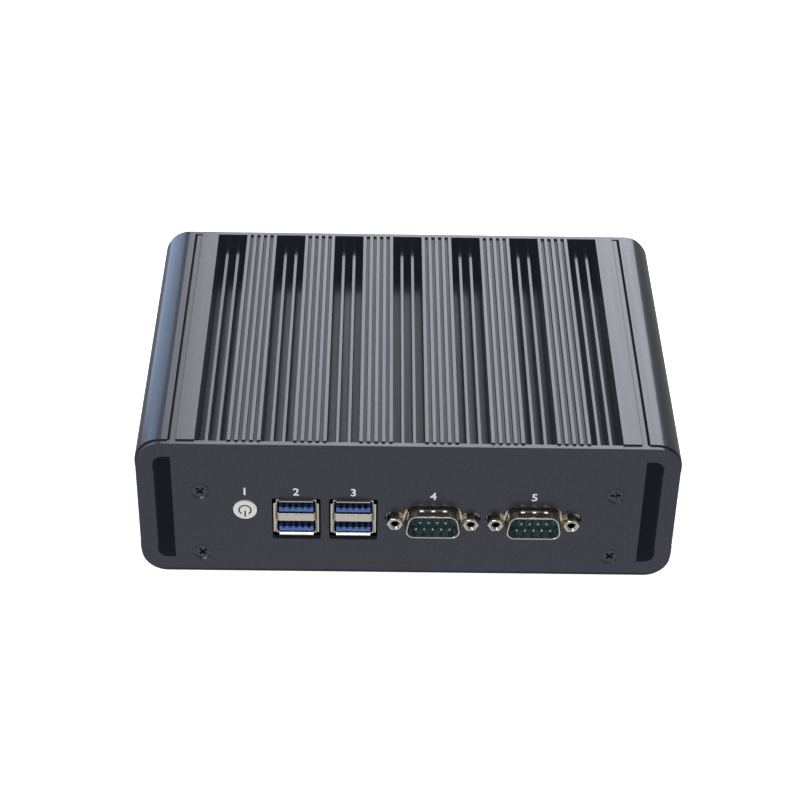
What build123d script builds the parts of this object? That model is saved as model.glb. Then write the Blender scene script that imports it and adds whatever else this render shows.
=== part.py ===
from build123d import *
import os
from math import atan2, cos, degrees, pi, radians, tan

# Fanless industrial computer: a finned aluminium body closed by a front and a rear panel and a
# bottom cover, with the mainboard hung upside down under the heat sink.
# Millimetres. +X is right, -Y is the front, +Z is up, and Z = 0 is the surface it stands on.

# Overall form
body_w = 178.0
body_h = 55.4
body_depth = 125.4
corner_r = 9.0
foot_h = 2.5

# Panels and cover
panel_t = 1.8
panel_inset = 0.5
cover_t = 2.0
cover_ledge = 2.0
cover_gap = 0.3

# Heat sink on top
valley_count = 7
valley_w = 10.5
shoulder_w = 19.7
valley_depth = 13.2
fin_t = 1.0
fin_spacing = 3.84
fin_drop = 4.8
rib_w = 1.15
rib_spacing = 2.425
groove_depth = 1.1
sink_base_t = 4.7
step_side = 11.7
step_w = 2.0
step_depth = 0.8
slit_w = 0.65
slit_depth = 3.2

# Side air ducts, with teeth on both faces of the outer wall
duct_wall = 5.9
duct_w = 5.9
duct_bottom = 6.5
duct_top = 5.9
duct_r = 3.5
tooth_pitch = 1.2
tooth_margin = 5.3
tooth_depth = 0.42
side_rib_depth = 0.5

# Chamber inside the body
chamber_wall = 2.2
rail_h = 10.0
boss_half = 2.6

# Countersunk cross-recess screws
screw_head_r = 3.1
screw_head_h = 1.45
screw_shank_r = 1.22
screw_len = 8.0
cover_screw_len = 6.0
screw_sunk = 0.05
tap_gap = 0.03
screw_hole_r = 1.6
sink_gap = 0.08
cross_w = 3.3
cross_t = 0.75
cross_depth = 0.85
cross_turn = 45.0
panel_screw_in = 6.85
panel_screw_low = 8.6
panel_screw_high = 35.0
cover_screw_in = 4.0
cover_screw_y = 36.0

# Feet and wall-mount holes
foot_r = 6.0
foot_side_in = 13.0
foot_end_in = 13.7
wall_mount_spacing = 75.0
wall_mount_hole_r = 1.65

# Power button and its switch
button_x = -53.5
button_z = 30.1
button_r = 3.95
button_proud = 0.4
button_edge = 0.2
button_hole_gap = 0.35
button_travel = 0.5
button_flange_r = 4.6
button_flange_t = 0.8
button_gap = 0.3
stem_r = 1.7
stem_gap = 0.2
stem_len = 4.0
switch_w = 9.0
switch_below = 4.6
switch_wall = 1.2
dome_r = 3.0
dome_top_r = 1.2
dome_h = 0.6
dome_t = 0.15
dome_gap = 0.1

# Double USB sockets
usb_first_x = -36.65
usb_web = 2.8
usb_z = 27.74
usb_port_w = 12.5
usb_port_h = 5.12
usb_divider = 3.16
usb_sheet = 0.35
usb_len = 17.5
usb_proud = 1.2
usb_side_lip = 0.85
usb_bottom_lip = 0.45
usb_lip_len = 0.8
usb_side_lip_h = 12.2
usb_bottom_lip_w = 11.2
usb_tongue_w = 11.2
usb_tongue_t = 1.84
usb_tongue_len = 8.5
usb_tongue_rise = 0.75
usb_tongue_back = 0.4
usb_contact_count = 5
usb_contact_pitch = 2.05
usb_notch_w = 1.05
usb_notch_depth = 0.8
usb_notch_len = 4.0
usb_contact_w = 0.7
usb_contact_t = 0.3
usb_insert_gap = 0.05
usb_hole_side = 1.4
usb_hole_below = 3.2
usb_hole_above = 0.15
usb_hole_corner = 0.6

# Nine-pin and display D connectors, wide side down
com_first_x = 8.4
com_gap = 2.45
dsub_z = 26.55
dsub_w = 17.7
dsub_h = 9.2
dsub_r = 2.8
dsub_wall = 0.45
dsub_slope = 10.0
dsub_shell_len = 6.0
dsub_ear = 2.905
dsub_flange_h = 12.5
dsub_flange_t = 0.8
dsub_hole_side = 1.4
dsub_hole_above = 1.1
dsub_hole_r = 3.4
dsub_dimple_r = 0.85
dsub_dimple_depth = 0.28
dsub_dimple_pitch = 3.8
dsub_fit = 0.05
dsub_block_in = 0.4
dsub_block_t = 9.5
dsub_block_below = 5.4
jack_spacing = 24.99
jack_hole_r = 3.5
jack_across_flats = 4.76
jack_len = 4.75
jack_bevel = 0.35
jack_bore_r = 1.15
jack_bore_depth = 4.0
jack_stud_r = 1.4
jack_stud_len = 5.0
jack_stud_gap = 0.1
pin_r = 0.51
pin_pitch = 2.77
pin_row = 2.84
pin_back = 0.55
pin_seat = 1.5
insulator_proud = 0.5
vga_pitch = 2.29
vga_row = 1.98
vga_hole_r = 0.5
vga_hole_depth = 3.0
vga_insert_back = 0.4

# Other rear sockets
dc_x = 52.0
dc_w = 9.0
dc_h = 10.8
dc_len = 14.0
dc_bore_r = 3.15
dc_bore_depth = 9.5
dc_pin_r = 1.25
dc_pin_back = 1.0
dc_ring = 0.9
vga_x = 28.0
hdmi_x = 2.0
hdmi_w = 15.0
hdmi_h = 5.7
hdmi_len = 11.5
hdmi_sheet = 0.4
hdmi_bevel = 1.6
hdmi_tongue_w = 11.6
hdmi_tongue_t = 1.3
hdmi_tongue_len = 7.0
lan_first_x = -19.0
lan_web = 2.0
lan_w = 16.2
lan_h = 13.6
lan_len = 21.0
lan_sheet = 0.4
lan_plug_w = 11.8
lan_plug_h = 6.9
lan_key_w = 6.2
lan_key_h = 1.6
lan_floor = 1.9
lan_depth = 12.0
audio_first_x = -49.6
audio_web = 0.6
audio_w = 7.0
audio_h = 6.2
audio_len = 12.0
audio_bore_r = 1.8
audio_nose_r = 2.9
plug_x = 44.0
plug_z = 15.5
plug_r = 3.1
plug_head_r = 4.5
plug_head_t = 1.2
plug_len = 3.0
socket_gap = 0.3
socket_proud = 0.6

# Mainboard and what it carries
board_side_gap = 3.55
board_gap = 1.0
board_t = 1.6
board_clear = 0.1
cpu_size = 30.0
cpu_t = 1.3
die_size = 14.0
die_t = 0.4
cpu_y = 2.0
pad_size = 28.0
pad_t = 0.3
spreader_size = 48.0
standoff_in = 6.0
standoff_front_y = -37.0
standoff_rear_y = 33.0
standoff_flats = 5.0
board_hole_r = 1.6
board_screw_r = 1.4
board_screw_head_r = 2.6
board_screw_head_h = 1.6
board_screw_in = 2.6
dimm_w = 67.6
dimm_len = 30.0
dimm_t = 1.2
dimm_y = -5.0
dimm_socket_w = 73.0
dimm_socket_t = 6.5
dimm_socket_h = 4.6
dimm_arm_t = 2.0
dimm_arm_len = 24.0
dimm_drop = 2.2
dimm_insert = 2.5
dimm_chip_w = 10.5
dimm_chip_len = 12.0
dimm_chip_t = 1.0
dimm_chip_count = 4
ssd_x = 36.0
ssd_y = 12.0
ssd_w = 22.0
ssd_len = 42.0
ssd_t = 0.8
ssd_drop = 2.6
ssd_socket_t = 8.0
ssd_socket_h = 4.0
ssd_insert = 3.0
ssd_screw_r = 1.0
ssd_screw_head_r = 2.0
ssd_post_r = 2.2
ssd_notch_r = 1.75
ssd_chip = 12.0
ssd_chip_t = 1.1
cell_x = -42.0
cell_y = 12.0
cell_r = 10.0
cell_t = 3.2
cell_gap = 0.2
cell_floor = 0.8
cell_wall = 1.4
choke_size = 7.0
choke_h = 4.0
choke_x = 48.0
choke_pitch = 9.0
choke_count = 3
choke_y = 0.0
can_r = 3.15
can_h = 6.5
can_x = 58.0
can_y = 1.0
can_pitch = 8.0
can_count = 3
lan_chip = 9.0
lan_chip_t = 0.9
lan_chip_y = 31.0
fit = 0.05

# Flat sides of the small round pieces and holes that repeat, which keeps them light
bar_sides = 12
pin_sides = 8
vga_hole_sides = 6
disc_sides = 24

# Levels and faces worked out from the sizes above
y_front = -body_depth / 2
y_rear = body_depth / 2
y_in = y_front + panel_t
y_out = y_rear - panel_t
z_base = foot_h
z_top = z_base + body_h
z_mid = z_base + body_h / 2
z_floor = z_base + cover_t
z_ceiling = z_top - valley_depth - sink_base_t
z_board = usb_z + usb_port_h + usb_divider / 2 + usb_sheet + board_clear
z_board_top = z_board + board_t
duct_x1 = body_w / 2 - duct_wall
duct_x0 = duct_x1 - duct_w
duct_z0 = z_base + duct_bottom
duct_z1 = z_top - duct_top
side_mid_z = (duct_z0 + duct_z1) / 2
tooth_count = round((duct_z1 - duct_z0 - 2 * tooth_margin) / tooth_pitch)
step_x1 = body_w / 2 - step_side
step_x0 = step_x1 - step_w
valley_pitch = (body_w - 2 * shoulder_w - valley_w) / (valley_count - 1)
plateau_w = valley_pitch - valley_w
rib_count = round((plateau_w - rib_w) / rib_spacing) + 1
chamber_half_w = duct_x0 - chamber_wall
cover_half_w = chamber_half_w - cover_ledge
panel_screw_x = chamber_half_w - panel_screw_in
cover_screw_x = cover_half_w - cover_screw_in
board_half_w = panel_screw_x - boss_half - board_side_gap
standoff_x = board_half_w - standoff_in
foot_x = cover_half_w - foot_side_in
foot_y = body_depth / 2 - foot_end_in
usb_half_w = usb_port_w / 2 + usb_sheet
usb_hole_w = 2 * (usb_half_w + usb_hole_side)
usb_x = (usb_first_x, usb_first_x + usb_hole_w + usb_web)
dsub_flange_w = jack_spacing + 2 * dsub_ear
com_x = (com_first_x, com_first_x + dsub_flange_w + com_gap)
lan_x = (lan_first_x, lan_first_x - lan_w - lan_web)
audio_x = (audio_first_x, audio_first_x - audio_w - audio_web)
screw_low_z = z_base + panel_screw_low
screw_high_z = z_base + panel_screw_high
panel_screws = [(sx * panel_screw_x, z) for sx in (-1, 1) for z in (screw_low_z, screw_high_z)]
cover_screws = [(sx * cover_screw_x, sy * cover_screw_y) for sx in (-1, 1) for sy in (-1, 1)]
board_holes = [(sx * standoff_x, y) for sx in (-1, 1) for y in (standoff_front_y, standoff_rear_y)]
duct_sides = (-1, 1)
far = 1.0


def front_plane(x, y, z):
    """A plane that looks out of the front at a point."""
    return Plane(origin=(x, y, z), x_dir=(1, 0, 0), z_dir=(0, -1, 0))


def rear_plane(x, y, z):
    """A plane that looks out of the back at a point."""
    return Plane(origin=(x, y, z), x_dir=(-1, 0, 0), z_dir=(0, 1, 0))


def down_plane(x, y, z):
    """A plane that looks down at a point."""
    return Plane(origin=(x, y, z), x_dir=(1, 0, 0), z_dir=(0, 0, -1))


def prism(outline, y0, y1):
    """An upright outline, drawn in X and Z, pulled from y0 back to y1."""
    return extrude(front_plane(0, y1, 0) * outline, amount=y1 - y0, dir=(0, -1, 0))


def block(x0, x1, y0, y1, z0, z1):
    """A box between two corners."""
    return Pos((x0 + x1) / 2, (y0 + y1) / 2, (z0 + z1) / 2) * Box(x1 - x0, y1 - y0, z1 - z0)


def disc(r, sides=0):
    """A circle, or a polygon with its corners on that circle."""
    return RegularPolygon(r, sides) if sides else Circle(r)


def rod(x, z, r, y0, y1, sides=0):
    """A round or many-sided bar along Y."""
    return prism(Pos(x, z) * disc(r, sides), y0, y1)


def post(x, y, r, z0, z1, sides=0):
    """A round or many-sided bar along Z."""
    return Pos(x, y, z0) * extrude(disc(r, sides), amount=z1 - z0)


def cone(r0, r1, height):
    """A many-sided cone that stands on Z = 0 with radius r0 and narrows to r1 at its top."""
    slope = atan2((r0 - r1) * cos(pi / bar_sides), height)
    return extrude(disc(r0, bar_sides), amount=height, taper=degrees(slope))


def rect(x0, x1, z0, z1):
    """A rectangle between two corners, drawn in X and Z."""
    return Pos((x0 + x1) / 2, (z0 + z1) / 2) * Rectangle(x1 - x0, z1 - z0)


def teeth(side, x, depth):
    """A column of pointed teeth that stand inwards from the upright line at x."""
    z0 = side_mid_z - tooth_count * tooth_pitch / 2
    points = [(side * (x + far), z0), (side * x, z0)]
    for i in range(tooth_count):
        points.append((side * (x - depth), z0 + (i + 0.5) * tooth_pitch))
        points.append((side * x, z0 + (i + 1) * tooth_pitch))
    points.append((side * (x + far), z0 + tooth_count * tooth_pitch))
    return Polygon(*points, align=None)


def duct_outline(side):
    """One air duct: round corners outside, square corners inside, teeth on the outer wall."""
    x0, x1 = sorted((side * duct_x0, side * duct_x1))
    outline = rect(x0, x1, duct_z0, duct_z1)
    outer_corners = outline.vertices().group_by(Axis.X)[-1 if side > 0 else 0]
    outline = fillet(outer_corners, duct_r)
    return outline - teeth(side, duct_x1, tooth_depth)


def case_outline(inset):
    """The rounded outline of the body, drawn in by an even margin."""
    return Pos(0, z_mid) * RectangleRounded(body_w - 2 * inset, body_h - 2 * inset, corner_r - inset)


def chamber_outline():
    """The hollow for the electronics, with the cover's rails and the screw bosses left standing."""
    hollow = rect(-chamber_half_w, chamber_half_w, z_floor, z_ceiling)
    keep = []
    for side in duct_sides:
        low_x = sorted((side * (panel_screw_x - boss_half), side * (chamber_half_w + far)))
        keep.append(rect(*low_x, z_floor - far, z_floor + rail_h))
        keep.append(rect(*low_x, screw_high_z - boss_half, z_ceiling + far))
    return hollow - keep


def body_outline():
    """The section of the finned body."""
    cuts = []
    fins = []
    half = (valley_count - 1) / 2
    rib_pitch = (plateau_w - rib_w) / (rib_count - 1)
    for i in range(valley_count):
        x = (i - half) * valley_pitch
        cuts.append(rect(x - valley_w / 2, x + valley_w / 2, z_top - valley_depth, z_top + far))
        for side in (-1, 1):
            middle = x + side * fin_spacing / 2
            low = z_top - valley_depth - sink_base_t / 2
            fins.append(rect(middle - fin_t / 2, middle + fin_t / 2, low, z_top - fin_drop))
    for i in range(valley_count - 1):
        start = (i - half + 0.5) * valley_pitch - plateau_w / 2
        for j in range(rib_count - 1):
            x0 = start + j * rib_pitch + rib_w
            x1 = start + (j + 1) * rib_pitch
            cuts.append(rect(x0, x1, z_top - groove_depth, z_top + far))
    for side in duct_sides:
        step = sorted((side * step_x0, side * step_x1))
        slit = sorted((side * (step_x1 - far / 10), side * (step_x1 + slit_w)))
        cuts.append(rect(*step, z_top - step_depth, z_top + far))
        cuts.append(rect(*slit, z_top - slit_depth, z_top + far))
        cuts.append(duct_outline(side))
        cuts.append(teeth(side, body_w / 2, side_rib_depth))
        for z in (screw_low_z, screw_high_z):
            cuts.append(Pos(side * panel_screw_x, z) * disc(screw_shank_r + tap_gap, bar_sides))
    cuts.append(chamber_outline())
    opening = cover_half_w + cover_gap
    cuts.append(rect(-opening, opening, z_base - far, z_floor))
    return case_outline(0) - cuts + fins


def heatsink_body():
    """The finned body, with tapped holes for the mainboard posts and the bottom cover."""
    body = prism(body_outline(), y_in, y_out)
    for x, y in cover_screws:
        top = z_base + cover_screw_len + far / 2
        body -= post(x, y, screw_shank_r + tap_gap, z_floor - far, top, bar_sides)
    for x, y in board_holes:
        top = z_ceiling + board_screw_in + far / 2
        body -= post(x, y, board_screw_r + tap_gap, z_ceiling - far, top, bar_sides)
    return body


def screw_cone(mouth_r, depth):
    """The cone of a countersunk head, point down, with its face at Z = 0."""
    return Rot(X=180) * cone(mouth_r, screw_shank_r, depth)


def screw(length):
    """A countersunk screw along Z with a cross recess; its face is at Z = 0 and it points down."""
    head = screw_cone(screw_head_r, screw_head_h)
    shank = post(0, 0, screw_shank_r, -length, -screw_head_h, bar_sides)
    recess = Box(cross_w, cross_t, 2 * cross_depth) + Box(cross_t, cross_w, 2 * cross_depth)
    return head + shank - Rot(Z=cross_turn) * recess


def screw_seat(thickness):
    """What a countersunk screw's seat takes out of a sheet."""
    depth = screw_head_h + screw_sunk + sink_gap
    flare = (screw_head_r - screw_shank_r) / screw_head_h
    mouth_r = screw_shank_r + flare * depth
    return screw_cone(mouth_r, depth) + post(0, 0, screw_hole_r, -thickness - far, 0, bar_sides)


def dsub_outline(width, height, radius):
    """A D outline about its own middle: wide side down, sides leaning in, all corners round."""
    lean = tan(radians(dsub_slope))
    spread = 1 / tan(radians((90 - dsub_slope) / 2)) - 1
    low = width / 2 + spread * radius
    high = low - height * lean
    corners = [(-low, -height / 2), (low, -height / 2), (high, height / 2), (-high, height / 2)]
    outline = Polygon(*corners, align=None)
    return fillet(outline.vertices(), radius)


def dsub_hole(x):
    """The cut-out for a D connector fitted from behind, merged with its two jackscrew holes."""
    width = dsub_w + 2 * dsub_hole_side
    hole = Pos(x, dsub_z) * dsub_outline(width, dsub_h + 2 * dsub_hole_above, dsub_hole_r)
    for side in (-1, 1):
        hole += Pos(x + side * jack_spacing / 2, dsub_z) * disc(jack_hole_r, disc_sides)
    return hole


def panel_blank(y0, holes):
    """A flat panel with the duct openings and the holes given as outlines."""
    sheet = case_outline(panel_inset)
    for side in duct_sides:
        sheet -= duct_outline(side)
    return prism(sheet - holes, y0, y0 + panel_t)


def usb_hole(x):
    """The cut-out for a double USB socket, with its corners taken off."""
    half_h = usb_port_h + usb_divider / 2 + usb_sheet
    z0 = usb_z - half_h - usb_hole_below
    z1 = usb_z + half_h + usb_hole_above
    hole = rect(x - usb_hole_w / 2, x + usb_hole_w / 2, z0, z1)
    return chamfer(hole.vertices(), usb_hole_corner)


def front_panel():
    """The front panel: duct openings, button hole, USB and nine-pin cut-outs, sunk screw holes."""
    holes = [Pos(button_x, button_z) * Circle(button_r + button_hole_gap)]
    holes += [usb_hole(x) for x in usb_x]
    holes += [dsub_hole(x) for x in com_x]
    panel = panel_blank(y_front, holes)
    for x, z in panel_screws:
        panel -= front_plane(x, y_front, z) * screw_seat(panel_t)
    return panel


def rear_panel():
    """The rear panel, with a cut-out for each rear socket and two holes for antennas."""
    holes = [dsub_hole(vga_x)]
    gap = socket_gap
    sizes = [(dc_x, dc_w, dc_h), (hdmi_x, hdmi_w, hdmi_h)]
    sizes += [(x, lan_w, lan_h) for x in lan_x]
    for x, w, h in sizes:
        holes.append(rect(x - w / 2 - gap, x + w / 2 + gap, z_board - h - gap, z_board + gap))
    for x in audio_x:
        holes.append(Pos(x, z_board - audio_h / 2) * disc(audio_nose_r + socket_gap, disc_sides))
    for side in (-1, 1):
        holes.append(Pos(side * plug_x, plug_z) * disc(plug_r, bar_sides))
    panel = panel_blank(y_out, holes)
    for x, z in panel_screws:
        panel -= rear_plane(x, y_rear, z) * screw_seat(panel_t)
    return panel


def bottom_cover():
    """The flat cover under the chamber, with sunk screw holes and four tapped wall-mount holes."""
    cover = block(-cover_half_w, cover_half_w, y_in + fit, y_out - fit, z_base, z_floor)
    for x, y in cover_screws:
        cover -= down_plane(x, y, z_base) * screw_seat(cover_t)
    for sx in (-1, 1):
        for sy in (-1, 1):
            x = sx * wall_mount_spacing / 2
            y = sy * wall_mount_spacing / 2
            cover -= post(x, y, wall_mount_hole_r, z_base - far, z_floor + far)
    return cover


def rubber_feet():
    """Four round feet stuck under the cover."""
    places = [(sx * foot_x, sy * foot_y) for sx in (-1, 1) for sy in (-1, 1)]
    return [post(x, y, foot_r, 0, foot_h, disc_sides) for x, y in places]


def panel_screw_set(plane_at, y):
    """The four screws of one panel."""
    sunk = Pos(0, 0, -screw_sunk) * screw(screw_len)
    return [plane_at(x, y, z) * sunk for x, z in panel_screws]


def cover_screw_set():
    """The four screws of the bottom cover."""
    sunk = Pos(0, 0, -screw_sunk) * screw(cover_screw_len - screw_sunk)
    return [down_plane(x, y, z_base) * sunk for x, y in cover_screws]


# The button's parts lie one behind the other, so each face is worked out from the one before
flange_y0 = y_in + button_gap
flange_y1 = flange_y0 + button_flange_t
stem_end = flange_y1 + stem_len
switch_y0 = flange_y1 + button_travel + button_gap
dome_back = stem_end + button_travel + dome_gap + dome_h
switch_y1 = dome_back + switch_wall
cavity_y0 = stem_end - far / 2


def power_button():
    """The push button: a round cap, a flange behind the panel and a stem into the switch."""
    cap = rod(button_x, button_z, button_r, y_front - button_proud, flange_y0)
    rim = cap.faces().filter_by(Axis.Y).sort_by(Axis.Y)[0].edges()
    cap = chamfer(rim, button_edge)
    flange = rod(button_x, button_z, button_flange_r, flange_y0, flange_y1, disc_sides)
    stem = rod(button_x, button_z, stem_r, flange_y1, stem_end, bar_sides)
    return cap + flange + stem


def switch_housing():
    """The switch body under the mainboard, bored for the stem and hollow round the dome."""
    half = switch_w / 2
    body = block(button_x - half, button_x + half, switch_y0, switch_y1, button_z - switch_below, z_board)
    body -= rod(button_x, button_z, stem_r + stem_gap, switch_y0 - far, cavity_y0 + far / 10, bar_sides)
    return body - rod(button_x, button_z, dome_r + fit, cavity_y0, dome_back, bar_sides)


def switch_dome():
    """The snap dome at the back of the switch: thin sheet, raised towards the stem."""
    outside = cone(dome_r, dome_top_r, dome_h)
    return front_plane(button_x, dome_back, button_z) * (outside - Pos(0, 0, -dome_t) * outside)


usb_y0 = y_front - usb_proud
usb_half_h = usb_port_h + usb_divider / 2 + usb_sheet
usb_mouth = usb_y0 + usb_lip_len
usb_tongue_y0 = usb_y0 + usb_tongue_back
usb_block_y0 = usb_tongue_y0 + usb_tongue_len
usb_y1 = usb_y0 + usb_len
usb_ports = [usb_z + side * (usb_port_h + usb_divider) / 2 for side in (-1, 1)]


def usb_lip_outline(u, side, reach):
    """A flared lip seen along its edge: it leans out by reach and forward from the sheet."""
    inner = u - usb_sheet
    outer = u + reach
    points = [(inner, usb_mouth), (outer - usb_sheet, usb_y0), (outer, usb_y0), (u, usb_mouth)]
    return Polygon(*[(side * a, b) for a, b in points], align=None)


def usb_shell(x):
    """The folded sheet shell of a double socket, with flared lips and a divider bar."""
    front = usb_mouth
    outer = block(-usb_half_w, usb_half_w, front, usb_y1, usb_z - usb_half_h, usb_z + usb_half_h)
    half = usb_port_w / 2
    inner = block(-half, half, front - far, usb_y1 - usb_sheet, usb_z - usb_half_h + usb_sheet,
                  usb_z + usb_half_h - usb_sheet)
    shell = outer - inner
    top = block(-usb_bottom_lip_w / 2, usb_bottom_lip_w / 2, usb_y0, front,
                usb_z + usb_half_h - usb_sheet, usb_z + usb_half_h)
    shell += top
    bar_half = usb_divider / 2
    shell += block(-half, half, front, front + usb_sheet, usb_z - bar_half, usb_z + bar_half)
    for side in (-1, 1):
        plate = usb_z + side * (bar_half - usb_sheet / 2)
        shell += block(-half, half, front, usb_block_y0, plate - usb_sheet / 2, plate + usb_sheet / 2)
        lip_side = usb_lip_outline(usb_half_w, side, usb_side_lip)
        lip = extrude(lip_side, amount=usb_side_lip_h, dir=(0, 0, 1))
        shell += Pos(0, 0, usb_z - usb_side_lip_h / 2) * lip
    turned = Plane(origin=(-usb_bottom_lip_w / 2, 0, usb_z), x_dir=(0, 0, -1), z_dir=(1, 0, 0))
    low_side = turned * usb_lip_outline(usb_half_h, 1, usb_bottom_lip)
    low_lip = extrude(low_side, amount=usb_bottom_lip_w, dir=(1, 0, 0))
    nose = block(-half + usb_sheet, half - usb_sheet, usb_y0, front, usb_z - bar_half, usb_z + bar_half)
    nose_edges = nose.faces().filter_by(Axis.Y).sort_by(Axis.Y)[0].edges()
    shell += low_lip + fillet(nose_edges, usb_sheet)
    return Pos(x, 0, 0) * shell


def usb_notch_places(x):
    """The middle of each contact, across the tongue."""
    half = (usb_contact_count - 1) / 2
    return [x + (i - half) * usb_contact_pitch for i in range(usb_contact_count)]


def usb_insert(x):
    """The moulded insert: a tongue in each port with open contact slots, and the block behind."""
    half = usb_port_w / 2 - usb_insert_gap
    pieces = []
    for z in usb_ports:
        low = z - usb_port_h / 2
        tongue_z0 = low + usb_tongue_rise
        tongue_z1 = tongue_z0 + usb_tongue_t
        tongue = block(x - usb_tongue_w / 2, x + usb_tongue_w / 2, usb_tongue_y0, usb_block_y0 + far,
                       tongue_z0, tongue_z1)
        for middle in usb_notch_places(x):
            tongue -= block(middle - usb_notch_w / 2, middle + usb_notch_w / 2, usb_tongue_y0 - far,
                            usb_tongue_y0 + usb_notch_len, tongue_z1 - usb_notch_depth, tongue_z1 + far)
        pieces.append(tongue)
    back = usb_y1 - usb_sheet - usb_insert_gap
    high = usb_half_h - usb_sheet - usb_insert_gap
    root = block(x - half, x + half, usb_block_y0 + usb_insert_gap, back, usb_z - high, usb_z + high)
    return root + pieces


def usb_contacts():
    """The contact strips that lie in the slots of the four tongues."""
    strips = []
    for x in usb_x:
        for z in usb_ports:
            bed = z - usb_port_h / 2 + usb_tongue_rise + usb_tongue_t - usb_notch_depth
            for middle in usb_notch_places(x):
                strips.append(block(middle - usb_contact_w / 2, middle + usb_contact_w / 2,
                                    usb_tongue_y0 + usb_contact_t, usb_tongue_y0 + usb_notch_len,
                                    bed, bed + usb_contact_t))
    return strips


def dsub_shell(dimple_rows):
    """The drawn steel shell and flange, with the dimples that grip a plug in the rows named.

    It looks out along Z, and Z = 0 is the flange's face.
    """
    outline = dsub_outline(dsub_w, dsub_h, dsub_r)
    bore = dsub_outline(dsub_w - 2 * dsub_wall, dsub_h - 2 * dsub_wall, dsub_r - dsub_wall)
    plate = extrude(Rectangle(dsub_flange_w, dsub_flange_h), amount=-dsub_flange_t)
    shell = plate + extrude(outline, amount=dsub_shell_len)
    shell -= Pos(0, 0, -dsub_flange_t) * extrude(bore, amount=dsub_flange_t + dsub_shell_len)
    for side in (-1, 1):
        shell -= post(side * jack_spacing / 2, 0, jack_stud_r + jack_stud_gap, -far, far, bar_sides)
    for row in dimple_rows:
        for i in (-1, 0, 1):
            middle = (i * dsub_dimple_pitch, row * dsub_h / 2, dsub_shell_len / 2)
            dimple = Plane(origin=middle, z_dir=(0, row, 0)) * disc(dsub_dimple_r, pin_sides)
            shell -= extrude(dimple, amount=-dsub_dimple_depth)
    return shell


def dsub_block(front, wall_back):
    """The moulded body behind a D connector's flange, with a D nose and two ears for the studs."""
    nose = dsub_outline(dsub_w - 2 * dsub_wall - 2 * dsub_fit, dsub_h - 2 * dsub_wall - 2 * dsub_fit,
                        dsub_r - dsub_wall - dsub_fit)
    body = Pos(0, 0, -dsub_flange_t) * extrude(nose, amount=dsub_flange_t + front)
    rise = z_board - dsub_z
    height = rise + dsub_block_below
    middle = (rise - dsub_block_below) / 2
    width = dsub_flange_w - 2 * dsub_block_in
    body += Pos(0, middle, -dsub_flange_t - wall_back / 2) * Box(width, height, wall_back)
    hole_r = jack_stud_r + jack_stud_gap
    for side in (-1, 1):
        body -= post(side * jack_spacing / 2, 0, hole_r, -jack_stud_len - far, 0, bar_sides)
    return body


def pin_places():
    """Nine pins in two rows: four above and five below."""
    places = []
    for count, row in ((4, 1), (5, -1)):
        for i in range(count):
            places.append(((i - (count - 1) / 2) * pin_pitch, row * pin_row / 2))
    return places


def com_insulator(x):
    """The dark moulding of a nine-pin connector, with a seat for each pin."""
    body = dsub_block(insulator_proud, dsub_block_t)
    for u, v in pin_places():
        body -= post(u, v, pin_r + dsub_fit, insulator_proud - pin_seat, insulator_proud, pin_sides)
    return front_plane(x, y_in, dsub_z) * body


def com_pins():
    """The pins of both nine-pin connectors."""
    pins = []
    for x in com_x:
        for u, v in pin_places():
            pin = post(u, v, pin_r, insulator_proud - pin_seat, dsub_shell_len - pin_back, pin_sides)
            pins.append(front_plane(x, y_in, dsub_z) * pin)
    return pins


def jackscrew():
    """A hexagon jackscrew: bevelled head with a tapped bore, and a stud behind the flange."""
    head = extrude(RegularPolygon(jack_across_flats / 2, 6, major_radius=False), amount=jack_len)
    head = chamfer(head.faces().sort_by(Axis.Z)[-1].edges(), jack_bevel)
    stud = post(0, 0, jack_stud_r, -jack_stud_len, 0, bar_sides)
    return head + stud - post(0, 0, jack_bore_r, jack_len - jack_bore_depth, jack_len)


def jackscrew_set(plane_at, xs, y):
    """A pair of jackscrews for each connector in a list."""
    one = jackscrew()
    return [plane_at(x + side * jack_spacing / 2, y, dsub_z) * one for x in xs for side in (-1, 1)]


def vga_insert():
    """The moulding of the display socket: a D nose that fills the shell, with three rows of holes."""
    body = dsub_block(dsub_shell_len - vga_insert_back, dsub_block_t)
    face = dsub_shell_len - vga_insert_back
    for row in (-1, 0, 1):
        shift = -vga_pitch / 4 if row == 0 else vga_pitch / 4
        for i in range(5):
            u = (i - 2) * vga_pitch + shift
            body -= post(u, row * vga_row, vga_hole_r, face - vga_hole_depth, face, vga_hole_sides)
    return rear_plane(vga_x, y_out, dsub_z) * body


def dc_jack():
    """The power inlet: a square moulding with a round bore."""
    z = z_board - dc_h / 2
    back = y_rear + socket_proud
    body = block(dc_x - dc_w / 2, dc_x + dc_w / 2, back - dc_len, back, z_board - dc_h, z_board)
    return body - rod(dc_x, z, dc_bore_r, back - dc_bore_depth, back + far)


def dc_jack_pin():
    """The centre pin of the power inlet."""
    back = y_rear + socket_proud
    return rod(dc_x, z_board - dc_h / 2, dc_pin_r, back - dc_bore_depth, back - dc_pin_back, bar_sides)


def hdmi_outline(shrink):
    """The outline of the display socket: lower corners cut off."""
    half = hdmi_w / 2 - shrink
    high = z_board - shrink
    low = z_board - hdmi_h + shrink
    bevel = hdmi_bevel - shrink / 2
    points = [(-half, high), (half, high), (half, low + bevel), (half - bevel, low),
              (bevel - half, low), (-half, low + bevel)]
    return Pos(hdmi_x, 0) * Polygon(*points, align=None)


def hdmi_shell():
    """The sheet shell of the display socket."""
    back = y_rear + socket_proud
    tube = hdmi_outline(0) - hdmi_outline(hdmi_sheet)
    return prism(tube, back - hdmi_len, back)


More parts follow.
